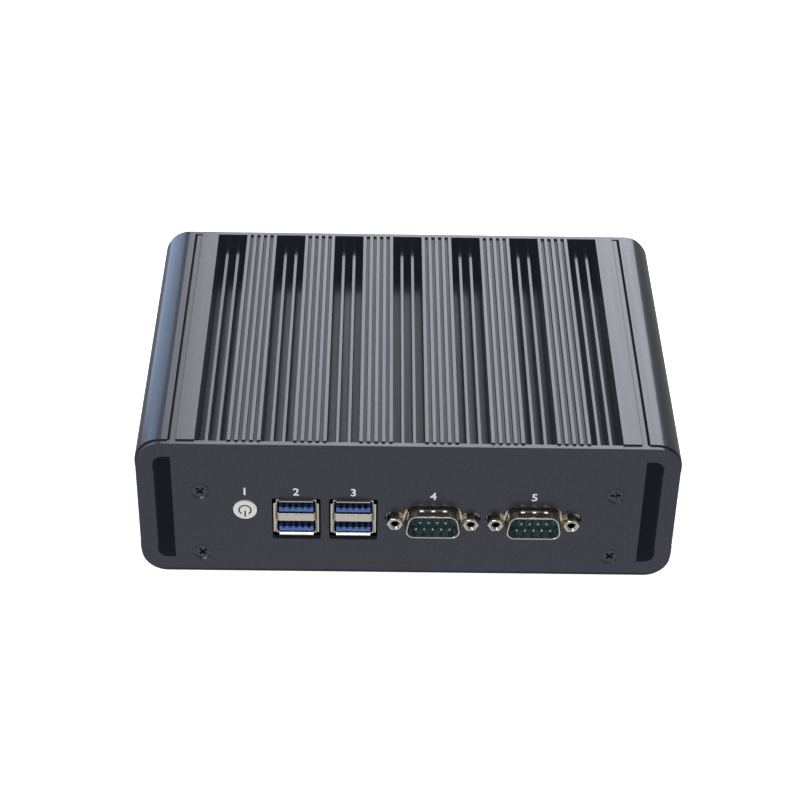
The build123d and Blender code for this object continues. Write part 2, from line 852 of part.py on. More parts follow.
def hdmi_insert():
    """The tongue and root of the display socket."""
    back = y_rear + socket_proud
    middle = z_board - hdmi_h / 2
    root = prism(hdmi_outline(hdmi_sheet + fit), back - hdmi_len, back - far - hdmi_tongue_len)
    tongue = block(hdmi_x - hdmi_tongue_w / 2, hdmi_x + hdmi_tongue_w / 2, back - hdmi_tongue_len - 2 * far,
                   back - far, middle - hdmi_tongue_t / 2, middle + hdmi_tongue_t / 2)
    return root + tongue


def lan_shell(x):
    """The sheet shield of a network socket."""
    back = y_rear + socket_proud
    outer = block(x - lan_w / 2, x + lan_w / 2, back - lan_len, back, z_board - lan_h, z_board)
    s = lan_sheet
    inner = block(x - lan_w / 2 + s, x + lan_w / 2 - s, back - lan_len + s, back + far,
                  z_board - lan_h + s, z_board - s)
    return outer - inner


def lan_insert(x):
    """The moulding of a network socket, hollow for the plug and its latch."""
    back = y_rear + socket_proud - lan_sheet
    s = lan_sheet + fit
    body = block(x - lan_w / 2 + s, x + lan_w / 2 - s, y_rear + socket_proud - lan_len + s, back,
                 z_board - lan_h + s, z_board - s)
    low = z_board - lan_h + lan_floor
    body -= block(x - lan_plug_w / 2, x + lan_plug_w / 2, back - lan_depth, back + far,
                  low, low + lan_plug_h)
    top = low + lan_plug_h
    body -= block(x - lan_key_w / 2, x + lan_key_w / 2, back - lan_depth, back + far,
                  top - far, top + lan_key_h)
    return body


def audio_jacks():
    """Two audio sockets: a block under the mainboard and a round nose through the panel."""
    jacks = []
    z = z_board - audio_h / 2
    for x in audio_x:
        body = block(x - audio_w / 2, x + audio_w / 2, y_out - audio_len, y_out - fit,
                     z_board - audio_h, z_board)
        nose = rod(x, z, audio_nose_r, y_out - far, y_rear + socket_proud, disc_sides)
        bore = rod(x, z, audio_bore_r, y_out - audio_len + far, y_rear + socket_proud + far, disc_sides)
        jacks.append(body + nose - bore)
    return jacks


def antenna_hole_plugs():
    """Two plastic plugs that close the antenna holes."""
    plugs = []
    for side in (-1, 1):
        stem = rod(side * plug_x, plug_z, plug_r - fit, y_rear - plug_len, y_rear, bar_sides)
        plugs.append(stem + rod(side * plug_x, plug_z, plug_head_r, y_rear, y_rear + plug_head_t, disc_sides))
    return plugs


def mainboard():
    """The bare mainboard, with four fixing holes."""
    y0 = y_in + board_gap
    y1 = y_out - board_gap
    board = block(-board_half_w, board_half_w, y0, y1, z_board, z_board_top)
    for x, y in board_holes:
        board -= post(x, y, board_hole_r, z_board - far, z_board_top + far, bar_sides)
    return board


def square_chip(x, y, size, z0, z1):
    """A flat square package."""
    return block(x - size / 2, x + size / 2, y - size / 2, y + size / 2, z0, z1)


def processor():
    """The processor: a carrier with a smaller bare die on top."""
    carrier = square_chip(0, cpu_y, cpu_size, z_board_top, z_board_top + cpu_t)
    return carrier + square_chip(0, cpu_y, die_size, z_board_top + cpu_t, z_board_top + cpu_t + die_t)


def thermal_pad():
    """The soft pad between the processor's die and the spreader block."""
    z0 = z_board_top + cpu_t + die_t
    return square_chip(0, cpu_y, pad_size, z0, z0 + pad_t)


def heat_spreader():
    """The block that carries heat up to the ceiling of the body."""
    return square_chip(0, cpu_y, spreader_size, z_board_top + cpu_t + die_t + pad_t, z_ceiling)


def board_standoffs():
    """Hexagon spacers between the mainboard and the ceiling."""
    length = z_ceiling - z_board_top
    spacer = extrude(RegularPolygon(standoff_flats / 2, 6, major_radius=False), amount=length)
    spacer -= post(0, 0, board_hole_r, -far, length + far, bar_sides)
    return [Pos(x, y, z_board_top) * spacer for x, y in board_holes]


def board_screws():
    """Pan-head screws that clamp the mainboard up against its spacers."""
    screws = []
    for x, y in board_holes:
        head = post(x, y, board_screw_head_r, z_board - board_screw_head_h, z_board, bar_sides)
        shank = post(x, y, board_screw_r, z_board, z_ceiling + board_screw_in, bar_sides)
        screws.append(head + shank)
    return screws


dimm_y0 = dimm_y - dimm_len
dimm_z1 = z_board - dimm_drop
dimm_z0 = dimm_z1 - dimm_t


def memory_module():
    """The memory card under the board, with its chips."""
    card = block(-dimm_w / 2, dimm_w / 2, dimm_y0, dimm_y, dimm_z0, dimm_z1)
    step = dimm_w / dimm_chip_count
    for i in range(dimm_chip_count):
        x = (i - (dimm_chip_count - 1) / 2) * step
        y = (dimm_y0 + dimm_insert + dimm_y) / 2
        card += block(x - dimm_chip_w / 2, x + dimm_chip_w / 2, y - dimm_chip_len / 2, y + dimm_chip_len / 2,
                      dimm_z0 - dimm_chip_t, dimm_z0)
    return card


def memory_socket():
    """The memory socket: a slotted bar with a latch arm at each end."""
    half = dimm_socket_w / 2
    front = dimm_y0 + dimm_insert - dimm_socket_t
    body = block(-half, half, front, front + dimm_socket_t, z_board - dimm_socket_h, z_board)
    for side in (-1, 1):
        x0, x1 = sorted((side * (half - dimm_arm_t), side * half))
        body += block(x0, x1, front, front + dimm_arm_len, z_board - dimm_socket_h, z_board)
    slot_half = dimm_w / 2 + fit
    return body - block(-slot_half, slot_half, dimm_y0, dimm_y, dimm_z0 - fit, dimm_z1 + fit)


ssd_z1 = z_board - ssd_drop
ssd_z0 = ssd_z1 - ssd_t
ssd_end = ssd_x - ssd_len


def ssd_module():
    """The storage card, with a half-round notch for its screw and two flash chips."""
    card = block(ssd_end, ssd_x, ssd_y - ssd_w / 2, ssd_y + ssd_w / 2, ssd_z0, ssd_z1)
    card -= post(ssd_end, ssd_y, ssd_notch_r, ssd_z0 - far, ssd_z1 + far, bar_sides)
    for place in (1, 2):
        x = ssd_end + place * ssd_len / 3
        card += square_chip(x, ssd_y, ssd_chip, ssd_z0 - ssd_chip_t, ssd_z0)
    return card


def ssd_socket():
    """The storage card's edge socket."""
    x0 = ssd_x - ssd_insert
    body = block(x0, x0 + ssd_socket_t, ssd_y - ssd_w / 2, ssd_y + ssd_w / 2, z_board - ssd_socket_h, z_board)
    return body - block(x0 - far, ssd_x, ssd_y - ssd_w / 2 - far, ssd_y + ssd_w / 2 + far, ssd_z0 - fit,
                        ssd_z1 + fit)


def ssd_post():
    """The tapped post that holds the free end of the storage card off the board."""
    pillar = post(ssd_end, ssd_y, ssd_post_r, ssd_z1, z_board, bar_sides)
    return pillar - post(ssd_end, ssd_y, ssd_screw_r + tap_gap, ssd_z1 - far, z_board + far, bar_sides)


def ssd_screw():
    """The small screw at the end of the storage card."""
    head = post(ssd_end, ssd_y, ssd_screw_head_r, ssd_z0 - far, ssd_z0, bar_sides)
    return head + post(ssd_end, ssd_y, ssd_screw_r, ssd_z0, z_board - fit, bar_sides)


cell_z1 = z_board - cell_floor
cell_z0 = cell_z1 - cell_t


def coin_cell():
    """The clock battery."""
    return post(cell_x, cell_y, cell_r, cell_z0, cell_z1, disc_sides)


def cell_holder():
    """The square holder for the clock battery, with a round pocket open below."""
    width = 2 * (cell_r + cell_gap + cell_wall)
    tray = square_chip(cell_x, cell_y, width, cell_z0 + cell_t / 3, z_board)
    return tray - post(cell_x, cell_y, cell_r + cell_gap, cell_z0 - far, cell_z1, disc_sides)


def power_chokes():
    """A row of square power chokes."""
    row = [choke_y + i * choke_pitch for i in range(choke_count)]
    return [square_chip(choke_x, y, choke_size, z_board - choke_h, z_board) for y in row]


def power_capacitors():
    """A row of round capacitors beside the chokes."""
    row = [can_y + i * can_pitch for i in range(can_count)]
    return [post(can_x, y, can_r, z_board - can_h, z_board, bar_sides) for y in row]


def network_chips():
    """One network chip in front of each network socket."""
    return [square_chip(x, lan_chip_y, lan_chip, z_board - lan_chip_t, z_board) for x in lan_x]


os.makedirs("parts", exist_ok=True)


def save(name, shape):
    """Write one node; a list of solids becomes one group of separate solids."""
    solids = shape if isinstance(shape, list) else [shape]
    solids = [one.solid() if len(one.solids()) == 1 else one for one in solids]
    export_step(solids[0] if len(solids) == 1 else Compound(children=solids), f"parts/{name}.step")


save("heatsink_body", heatsink_body())
save("front_panel", front_panel())
save("rear_panel", rear_panel())
save("bottom_cover", bottom_cover())
save("rubber_feet", rubber_feet())
save("front_panel_screws", panel_screw_set(front_plane, y_front))
save("rear_panel_screws", panel_screw_set(rear_plane, y_rear))
save("bottom_cover_screws", cover_screw_set())
save("power_button", power_button())
save("switch_housing", switch_housing())
save("switch_dome", switch_dome())
for number, x in enumerate(usb_x, start=1):
    save(f"usb_{number}_shell", usb_shell(x))
    save(f"usb_{number}_insert", usb_insert(x))
save("usb_contacts", usb_contacts())
for number, x in enumerate(com_x, start=1):
    save(f"com_{number}_shell", front_plane(x, y_in, dsub_z) * dsub_shell((-1, 1)))
    save(f"com_{number}_insulator", com_insulator(x))
save("com_pins", com_pins())
save("com_jackscrews", jackscrew_set(front_plane, com_x, y_in))
save("vga_shell", rear_plane(vga_x, y_out, dsub_z) * dsub_shell(()))
save("vga_insert", vga_insert())
save("vga_jackscrews", jackscrew_set(rear_plane, [vga_x], y_out))
save("dc_jack", dc_jack())
save("dc_jack_pin", dc_jack_pin())
save("hdmi_shell", hdmi_shell())
save("hdmi_insert", hdmi_insert())
for number, x in enumerate(lan_x, start=1):
    save(f"lan_{number}_shell", lan_shell(x))
    save(f"lan_{number}_insert", lan_insert(x))
save("audio_jacks", audio_jacks())
save("antenna_hole_plugs", antenna_hole_plugs())
save("mainboard", mainboard())
save("processor", processor())
save("thermal_pad", thermal_pad())
save("heat_spreader", heat_spreader())
save("board_standoffs", board_standoffs())
save("board_screws", board_screws())
save("memory_module", memory_module())
save("memory_socket", memory_socket())
save("ssd_module", ssd_module())
save("ssd_socket", ssd_socket())
save("ssd_post", ssd_post())
save("ssd_screw", ssd_screw())
save("coin_cell", coin_cell())
save("cell_holder", cell_holder())
save("power_chokes", power_chokes())
save("power_capacitors", power_capacitors())
save("network_chips", network_chips())
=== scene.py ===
"""Finishes a fanless industrial computer: its metals, plastics and small printed marks, and the stage.

Lengths are metres in the frame's own axes: +X to the right, -Y to the front, +Z up.
"""
from math import cos, pi, radians, sin, tan

import bmesh
import bpy
from mathutils import Matrix, Quaternion, Vector


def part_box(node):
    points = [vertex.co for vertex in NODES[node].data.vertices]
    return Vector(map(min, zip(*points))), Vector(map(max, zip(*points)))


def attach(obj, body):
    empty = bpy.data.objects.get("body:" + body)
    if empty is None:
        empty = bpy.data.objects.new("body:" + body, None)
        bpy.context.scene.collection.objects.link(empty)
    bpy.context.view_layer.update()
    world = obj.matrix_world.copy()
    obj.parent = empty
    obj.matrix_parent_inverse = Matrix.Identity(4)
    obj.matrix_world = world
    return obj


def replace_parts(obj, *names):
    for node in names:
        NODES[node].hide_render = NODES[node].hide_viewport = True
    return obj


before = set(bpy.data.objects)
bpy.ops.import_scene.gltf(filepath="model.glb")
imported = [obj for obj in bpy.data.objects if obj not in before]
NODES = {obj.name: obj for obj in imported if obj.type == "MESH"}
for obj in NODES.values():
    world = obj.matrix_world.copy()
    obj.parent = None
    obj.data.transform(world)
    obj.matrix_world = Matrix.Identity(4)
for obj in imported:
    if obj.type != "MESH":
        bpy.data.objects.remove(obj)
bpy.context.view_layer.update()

bl_info = {
    "name": "Fanless Computer Finish",
    "version": (1, 0, 0),
    "blender": (4, 5, 0),
    "location": "View3D > Sidebar > Computer",
    "description": "Gives a fanless industrial computer its finishes, printed marks and studio",
    "category": "Object",
}

MM = 0.001
# Points closer than this are merged.
TINY = MM / 1000
# Edges that turn by more than this stay sharp.
SHARP = radians(32)
# Height of a printed figure over its font's size.
FIGURE_SHARE = 0.7
# The way out of the case for a piece that isn't in its place yet.
OUT = Vector((0, 0, 1))
CHASSIS = "chassis"
BUTTON = "button"


def linear(code):
    """A hex sRGB colour as linear red, green, blue and alpha."""
    parts = [int(code[i:i + 2], 16) / 255 for i in (1, 3, 5)]
    return [c / 12.92 if c <= 0.04045 else ((c + 0.055) / 1.055) ** 2.4 for c in parts] + [1.0]


def shade(code):
    """A hex colour as a property's default."""
    return tuple(linear(code)[:3])


def toned(colour, factor):
    """A linear colour made darker or lighter by a factor, with full alpha."""
    return [c * factor for c in colour[:3]] + [1]


def per_mm(size):
    """The scale of a texture on object coordinates whose features are size millimetres apart."""
    return 1 / (size * MM)


class FinishSettings(bpy.types.PropertyGroup):
    """Colours and gloss of the finishes."""

    anodised: bpy.props.FloatVectorProperty(
        name="Anodised case", description="Colour of the dyed oxide layer", subtype="COLOR",
        default=shade("#2c2d35"), min=0, max=1)
    anodised_roughness: bpy.props.FloatProperty(
        name="Case roughness", description="How matt the blasted metal is", default=0.38, min=0, max=1,
        subtype="FACTOR")
    socket_plastic: bpy.props.FloatVectorProperty(
        name="Socket plastic", description="Colour of the USB tongues", subtype="COLOR",
        default=shade("#35599b"), min=0, max=1)
    plating: bpy.props.FloatVectorProperty(
        name="Plating", description="Colour of the nickel plating", subtype="COLOR",
        default=shade("#e4dccb"), min=0, max=1)
    cap: bpy.props.FloatVectorProperty(
        name="Button cap", description="Colour of the button's plastic", subtype="COLOR",
        default=shade("#c6c6c4"), min=0, max=1)


class MarkSettings(bpy.types.PropertyGroup):
    """Sizes of the printed marks."""

    figure_height: bpy.props.FloatProperty(
        name="Figure height", description="Height of the port numbers", unit="LENGTH", default=3.0 * MM)
    symbol_radius: bpy.props.FloatProperty(
        name="Symbol radius", description="Middle radius of the ring on the button", unit="LENGTH",
        default=1.95 * MM)
    line: bpy.props.FloatProperty(
        name="Line", description="Width of the symbol's strokes", unit="LENGTH", default=0.5 * MM)
    symbol_gap: bpy.props.FloatProperty(
        name="Symbol gap", description="Opening of the ring", subtype="ANGLE", default=radians(75))
    bar: bpy.props.FloatProperty(
        name="Bar", description="Length of the symbol's bar over the ring's radius", default=1.35)
    bar_drop: bpy.props.FloatProperty(
        name="Bar drop", description="How far the bar's middle is below the ring's, over its length",
        default=0.6)
    weight: bpy.props.FloatProperty(
        name="Weight", description="How much bolder than the plain font the figures are", unit="LENGTH",
        default=0.06 * MM)
    film: bpy.props.FloatProperty(
        name="Film", description="Thickness of the printed ink", unit="LENGTH", default=0.02 * MM)
    socket_line: bpy.props.FloatProperty(
        name="Socket line", description="Z of the figures over the button and the USB sockets",
        unit="LENGTH", default=37.6 * MM)
    connector_line: bpy.props.FloatProperty(
        name="Connector line", description="Z of the figures over the D connectors", unit="LENGTH",
        default=36.4 * MM)


class ShellSettings(bpy.types.PropertyGroup):
    """Sizes of the drawn shell of a D connector."""

    width: bpy.props.FloatProperty(
        name="Width", description="Outside width of the wide side", unit="LENGTH", default=17.7 * MM)
    height: bpy.props.FloatProperty(
        name="Height", description="Outside height", unit="LENGTH", default=9.2 * MM)
    lean: bpy.props.FloatProperty(
        name="Lean", description="How far the sides lean in", subtype="ANGLE", default=radians(10))
    corner: bpy.props.FloatProperty(
        name="Corner", description="Outside radius of the corners", unit="LENGTH", default=2.8 * MM)
    length: bpy.props.FloatProperty(
        name="Length", description="How far the shell stands out", unit="LENGTH", default=6.0 * MM)
    wall: bpy.props.FloatProperty(
        name="Wall", description="Thickness of the drawn wall", unit="LENGTH", default=0.45 * MM)
    flange: bpy.props.FloatProperty(
        name="Flange", description="Thickness of the flange", unit="LENGTH", default=0.8 * MM)
    flange_corner: bpy.props.FloatProperty(
        name="Flange corner", description="Rounding of the flange's corners", unit="LENGTH",
        default=1.0 * MM)
    hole: bpy.props.FloatProperty(
        name="Hole", description="Radius of the flange's holes over the radius of the studs",
        default=1.06)
    root: bpy.props.FloatProperty(
        name="Root", description="Radius where the shell leaves the flange", unit="LENGTH",
        default=0.7 * MM)
    lip: bpy.props.FloatProperty(
        name="Lip", description="Rounding of the mouth", unit="LENGTH", default=0.12 * MM)
    dimple: bpy.props.FloatProperty(
        name="Dimple", description="Radius of a grounding dimple", unit="LENGTH", default=0.9 * MM)
    dimple_depth: bpy.props.FloatProperty(
        name="Dimple depth", description="Depth of a dimple", unit="LENGTH", default=0.3 * MM)
    dimple_pitch: bpy.props.FloatProperty(
        name="Dimple pitch", description="Distance between dimples", unit="LENGTH", default=3.8 * MM)
    dimple_place: bpy.props.FloatProperty(
        name="Dimple place", description="Where the dimples are along the shell", default=0.58, min=0,
        max=1, subtype="FACTOR")
    dimple_stretch: bpy.props.FloatProperty(
        name="Dimple stretch", description="Width of a dimple over its height", default=1.35)


class PinSettings(bpy.types.PropertyGroup):
    """Sizes of the round contact pins of the nine-pin plugs."""

    radius: bpy.props.FloatProperty(
        name="Radius", description="Radius of a pin", unit="LENGTH", default=0.5 * MM)
    pitch: bpy.props.FloatProperty(
        name="Pitch", description="Distance along a row", unit="LENGTH", default=2.77 * MM)
    row: bpy.props.FloatProperty(
        name="Row", description="Distance between the rows", unit="LENGTH", default=2.84 * MM)
    nose: bpy.props.FloatProperty(
        name="Nose", description="Length of the round nose over a pin's radius", default=1.4)


class JackscrewSettings(bpy.types.PropertyGroup):
    """Sizes of the jackscrews."""

    flats: bpy.props.FloatProperty(
        name="Across flats", description="Width of the hexagon", unit="LENGTH", default=4.76 * MM)
    length: bpy.props.FloatProperty(
        name="Length", description="Length of the hexagon", unit="LENGTH", default=4.75 * MM)
    crown: bpy.props.FloatProperty(
        name="Crown", description="Height of the rounded end", unit="LENGTH", default=0.4 * MM)
    bore: bpy.props.FloatProperty(
        name="Bore", description="Radius of the tapped bore", unit="LENGTH", default=1.15 * MM)
    mouth: bpy.props.FloatProperty(
        name="Mouth", description="Radius of the bore's countersink", unit="LENGTH", default=1.75 * MM)
    depth: bpy.props.FloatProperty(
        name="Depth", description="Depth of the bore", unit="LENGTH", default=4.0 * MM)
    stud: bpy.props.FloatProperty(
        name="Stud", description="Radius of the stud behind", unit="LENGTH", default=1.4 * MM)
    stud_length: bpy.props.FloatProperty(
        name="Stud length", description="Length of the stud", unit="LENGTH", default=5.0 * MM)
    tip: bpy.props.FloatProperty(
        name="Tip", description="Chamfer of the stud's end", unit="LENGTH", default=0.2 * MM)
    spacing: bpy.props.FloatProperty(
        name="Spacing", description="Distance across a connector", unit="LENGTH", default=24.99 * MM)


class ScrewSettings(bpy.types.PropertyGroup):
    """Sizes of the countersunk screws."""

    head: bpy.props.FloatProperty(
        name="Head", description="Radius of the head", unit="LENGTH", default=2.65 * MM)
    sunk: bpy.props.FloatProperty(
        name="Sunk", description="How far the head lies below its seat's mouth", unit="LENGTH",
        default=0.3 * MM)
    head_height: bpy.props.FloatProperty(
        name="Head height", description="Height of the cone", unit="LENGTH", default=1.25 * MM)
    rim: bpy.props.FloatProperty(
        name="Rim", description="Rounding of the head's edge", unit="LENGTH", default=0.25 * MM)
    seat: bpy.props.FloatProperty(
        name="Seat", description="Radius of the seat's mouth", unit="LENGTH", default=3.2 * MM)
    film: bpy.props.FloatProperty(
        name="Film", description="Thickness of the seat's lining", unit="LENGTH", default=0.03 * MM)
    collar: bpy.props.FloatProperty(
        name="Collar", description="How far the lining stands over the mouth", unit="LENGTH",
        default=0.05 * MM)
    flare: bpy.props.FloatProperty(
        name="Flare", description="How much the seat's radius grows over its depth", default=1.28)
    shank: bpy.props.FloatProperty(
        name="Shank", description="Radius of the shank", unit="LENGTH", default=1.22 * MM)
    cross: bpy.props.FloatProperty(
        name="Cross", description="Width of the cross recess", unit="LENGTH", default=3.3 * MM)
    slot: bpy.props.FloatProperty(
        name="Slot", description="Width of one arm of the cross", unit="LENGTH", default=0.9 * MM)
    cross_depth: bpy.props.FloatProperty(
        name="Cross depth", description="Depth of the cross recess", unit="LENGTH", default=0.85 * MM)
    taper: bpy.props.FloatProperty(
        name="Taper", description="Width of the recess's floor over the width of its mouth", default=0.62)
    reach: bpy.props.FloatProperty(
        name="Reach", description="From the side of a packed group's box to a screw's axis",
        unit="LENGTH", default=3.1 * MM)


class StageSettings(bpy.types.PropertyGroup):
    """The camera, the floor and the lights."""

    yaw: bpy.props.FloatProperty(
        name="Yaw", description="Turn of the view to the right of +Y", subtype="ANGLE",
        default=radians(0.877))
    pitch: bpy.props.FloatProperty(
        name="Pitch", description="How far the view looks down", subtype="ANGLE", default=radians(37.425))
    roll: bpy.props.FloatProperty(
        name="Roll", description="Turn of the view about its own axis", subtype="ANGLE",
        default=radians(-1.243))
    lens: bpy.props.FloatProperty(
        name="Lens", description="Focal length for a sensor 36 mm wide", default=93.64)
    camera: bpy.props.FloatVectorProperty(
        name="Camera", description="Place of the camera", subtype="XYZ", unit="LENGTH",
        default=(-0.01127, -0.58518, 0.47608))
    floor_colour: bpy.props.FloatVectorProperty(
        name="Floor", description="Colour of the floor", subtype="COLOR", default=shade("#f6f6f6"), min=0,
        max=1)
    floor_size: bpy.props.FloatProperty(
        name="Floor size", description="Half the width of the floor", unit="LENGTH", default=4)
    floor_glow: bpy.props.FloatProperty(
        name="Floor glow", description="Light from below, as on a light table", default=0.95, min=0)
    sky: bpy.props.FloatProperty(
        name="Sky", description="Brightness of the light from all round", default=0.3, min=0)


def add(tree, kind, values=None, links=None, **settings):
    """Add one shader node with its settings, its socket values and the links into it.

    Sockets go by name, or by number: a Map Range has 0 value, 1 and 2 from, 3 and 4 to, and a colour
    Mix has 0 factor, 6 and 7 the colours.
    """
    made = tree.nodes.new(kind)
    for name, value in settings.items():
        setattr(made, name, value)
    for socket, value in (values or {}).items():
        made.inputs[socket].default_value = value
    for socket, source in (links or {}).items():
        tree.links.new(source, made.inputs[socket])
    return made


def new_material(name):
    """An empty node material, its tree and its object coordinates."""
    material = bpy.data.materials.new(name)
    material.use_nodes = True
    tree = material.node_tree
    tree.nodes.clear()
    place = add(tree, "ShaderNodeTexCoord").outputs["Object"]
    return material, tree, place


def close(tree, shader):
    """Send a shader to the material's output."""
    add(tree, "ShaderNodeOutputMaterial", links={"Surface": shader.outputs[0]})


def anodised_aluminium(name, settings, streaked):
    """Black anodised aluminium, bead-blasted before dyeing.

    The oxide is a clear glassy layer over metal coloured by black dye, so it mirrors softly at low angles
    while the blasted metal under it stays satin. Blasting rounds each edge, which catches the light.
    Painted shade from ambient occlusion darkens the colour and thins the coat in the corners. An
    extrusion also keeps faint die lines along its length. The real grain is under 0.1 mm, too fine to
    show, so it is drawn at 0.45 mm. A very faint painted glow stands for the light that goes on bouncing
    between the fins.
    """
    material, tree, place = new_material(name)
    base = settings.anodised
    grain = add(tree, "ShaderNodeTexNoise", {"Scale": per_mm(0.45), "Detail": 2, "Roughness": 0.6},
                {"Vector": place})
    fleck = add(tree, "ShaderNodeMapRange", {1: 0.35, 2: 0.65}, {0: grain.outputs[0]})
    tint = add(tree, "ShaderNodeMix", {6: toned(base, 0.8), 7: toned(base, 1.25)},
               {0: fleck.outputs[0]}, data_type="RGBA")
    # Painted shade: ambient occlusion darkens the colour and thins the coat in corners and grooves.
    corner = add(tree, "ShaderNodeAmbientOcclusion", {"Distance": 4.0 * MM}, samples=12, only_local=True)
    painted_shade_factor = add(tree, "ShaderNodeMapRange", {1: 0.4, 2: 0.82, 3: 0.03, 4: 1.0},
                   {0: corner.outputs["AO"]})
    coat_with_painted_shade = add(tree, "ShaderNodeMath", {1: 0.5}, {0: painted_shade_factor.outputs[0]}, operation="MULTIPLY")
    dye_with_painted_shade = add(tree, "ShaderNodeMix", {6: [0, 0, 0, 1]}, {0: painted_shade_factor.outputs[0], 7: tint.outputs[2]},
               data_type="RGBA")
    edge = add(tree, "ShaderNodeBevel", {"Radius": 0.22 * MM}, samples=6)
    if streaked:
        drawn = add(tree, "ShaderNodeMapping", {"Scale": (1, 0.012, 1)}, {"Vector": place})
        gloss = add(tree, "ShaderNodeTexNoise", {"Scale": per_mm(0.9), "Detail": 3},
                    {"Vector": drawn.outputs[0]})
    else:
        gloss = add(tree, "ShaderNodeTexNoise", {"Scale": per_mm(28), "Detail": 3}, {"Vector": place})
    matt = settings.anodised_roughness
    rough = add(tree, "ShaderNodeMapRange", {1: 0.3, 2: 0.7, 3: matt - 0.05, 4: matt + 0.06},
                {0: gloss.outputs[0]})
    bump = add(tree, "ShaderNodeBump", {"Strength": 0.3, "Distance": 0.02 * MM},
               {"Height": grain.outputs[0], "Normal": edge.outputs[0]})
    # Painted glow: a faint bluish emission stands for light bouncing between the fins.
    close(tree, add(tree, "ShaderNodeBsdfPrincipled",
                    {"Metallic": 0.85, "Coat Roughness": 0.14, "Coat IOR": 1.6,
                     "Emission Color": linear("#b9c4e6"), "Emission Strength": 0.018},
                    {"Base Color": dye_with_painted_shade.outputs[2], "Roughness": rough.outputs[0],
                     "Coat Weight": coat_with_painted_shade.outputs[0], "Normal": bump.outputs[0]}))
    return material


def bright_metal(name, colour, roughness):
    """Bright metal, such as nickel plating, tin, gold, brass or bare aluminium.

    It keeps soft rolling marks about 1.5 mm apart. Its corners and bores are painted dark brown: painted
    shade from ambient occlusion.
    """
    material, tree, place = new_material(name)
    stretched = add(tree, "ShaderNodeMapping", {"Scale": (1, 0.15, 1)}, {"Vector": place})
    marks = add(tree, "ShaderNodeTexNoise", {"Scale": per_mm(1.5), "Detail": 1},
                {"Vector": stretched.outputs[0]})
    rough = add(tree, "ShaderNodeMapRange", {1: 0.3, 2: 0.7, 3: roughness - 0.04, 4: roughness + 0.06},
                {0: marks.outputs[0]})
    tint = add(tree, "ShaderNodeMix", {6: toned(colour, 0.9), 7: toned(colour, 1)},
               {0: marks.outputs[0]}, data_type="RGBA")
    bump = add(tree, "ShaderNodeBump", {"Strength": 0.04, "Distance": 0.02 * MM},
               {"Height": marks.outputs[0]})
    # Painted shade: ambient occlusion turns the corners and bores dark brown.
    corner = add(tree, "ShaderNodeAmbientOcclusion", {"Distance": 2.5 * MM}, samples=8, only_local=True)
    painted_shade_factor = add(tree, "ShaderNodeMapRange", {1: 0.15, 2: 0.85}, {0: corner.outputs["AO"]})
    painted_shade_brown = [c * k for c, k in zip(colour[:3], (0.16, 0.13, 0.1))] + [1]
    plating_with_painted_shade = add(tree, "ShaderNodeMix", {6: painted_shade_brown}, {0: painted_shade_factor.outputs[0], 7: tint.outputs[2]},
               data_type="RGBA")
    close(tree, add(tree, "ShaderNodeBsdfPrincipled", {"Metallic": 1.0},
                    {"Base Color": plating_with_painted_shade.outputs[2], "Roughness": rough.outputs[0],
                     "Normal": bump.outputs[0]}))
    return material


def moulded_plastic(name, colour, roughness, texture_mm=0.4):
    """Moulded plastic, resin or rubber: an even colour and the fine texture of a spark-eroded mould."""
    material, tree, place = new_material(name)
    patch = add(tree, "ShaderNodeTexNoise", {"Scale": per_mm(6), "Detail": 2}, {"Vector": place})
    tint = add(tree, "ShaderNodeMix", {6: toned(colour, 0.9), 7: toned(colour, 1)},
               {0: patch.outputs[0]}, data_type="RGBA")
    grain = add(tree, "ShaderNodeTexNoise", {"Scale": per_mm(texture_mm), "Detail": 2},
                {"Vector": place})
    rough = add(tree, "ShaderNodeMapRange", {1: 0.3, 2: 0.7, 3: roughness - 0.05, 4: roughness + 0.08},
                {0: grain.outputs[0]})
    bump = add(tree, "ShaderNodeBump", {"Strength": 0.12, "Distance": 0.02 * MM},
               {"Height": grain.outputs[0]})
    close(tree, add(tree, "ShaderNodeBsdfPrincipled", {"IOR": 1.5},
                    {"Base Color": tint.outputs[2], "Roughness": rough.outputs[0],
                     "Normal": bump.outputs[0]}))
    return material


def coated_sheet(name, colour):
    """Black powder coat on sheet steel: a fine orange-peel surface about 0.8 mm across."""
    material, tree, place = new_material(name)
    peel = add(tree, "ShaderNodeTexVoronoi", {"Scale": per_mm(0.8)}, {"Vector": place},
               feature="SMOOTH_F1")
    rough = add(tree, "ShaderNodeMapRange", {3: 0.42, 4: 0.55}, {0: peel.outputs[0]})
    bump = add(tree, "ShaderNodeBump", {"Strength": 0.2, "Distance": 0.03 * MM},
               {"Height": peel.outputs[0]})
    close(tree, add(tree, "ShaderNodeBsdfPrincipled", {"Base Color": linear(colour)},
                    {"Roughness": rough.outputs[0], "Normal": bump.outputs[0]}))
    return material


def oxide_steel(name, colour):
    """Black-oxide screw steel: dark, half gloss, and rubbed brighter in spots about 0.6 mm apart."""
    material, tree, place = new_material(name)
    mottle = add(tree, "ShaderNodeTexNoise", {"Scale": per_mm(0.6), "Detail": 3}, {"Vector": place})
    rough = add(tree, "ShaderNodeMapRange", {1: 0.3, 2: 0.7, 3: 0.28, 4: 0.42}, {0: mottle.outputs[0]})
    tint = add(tree, "ShaderNodeMix", {6: linear(colour), 7: linear("#74757a")},
               {0: mottle.outputs[0]}, data_type="RGBA")
    close(tree, add(tree, "ShaderNodeBsdfPrincipled", {"Metallic": 1.0},
                    {"Base Color": tint.outputs[2], "Roughness": rough.outputs[0]}))
    return material


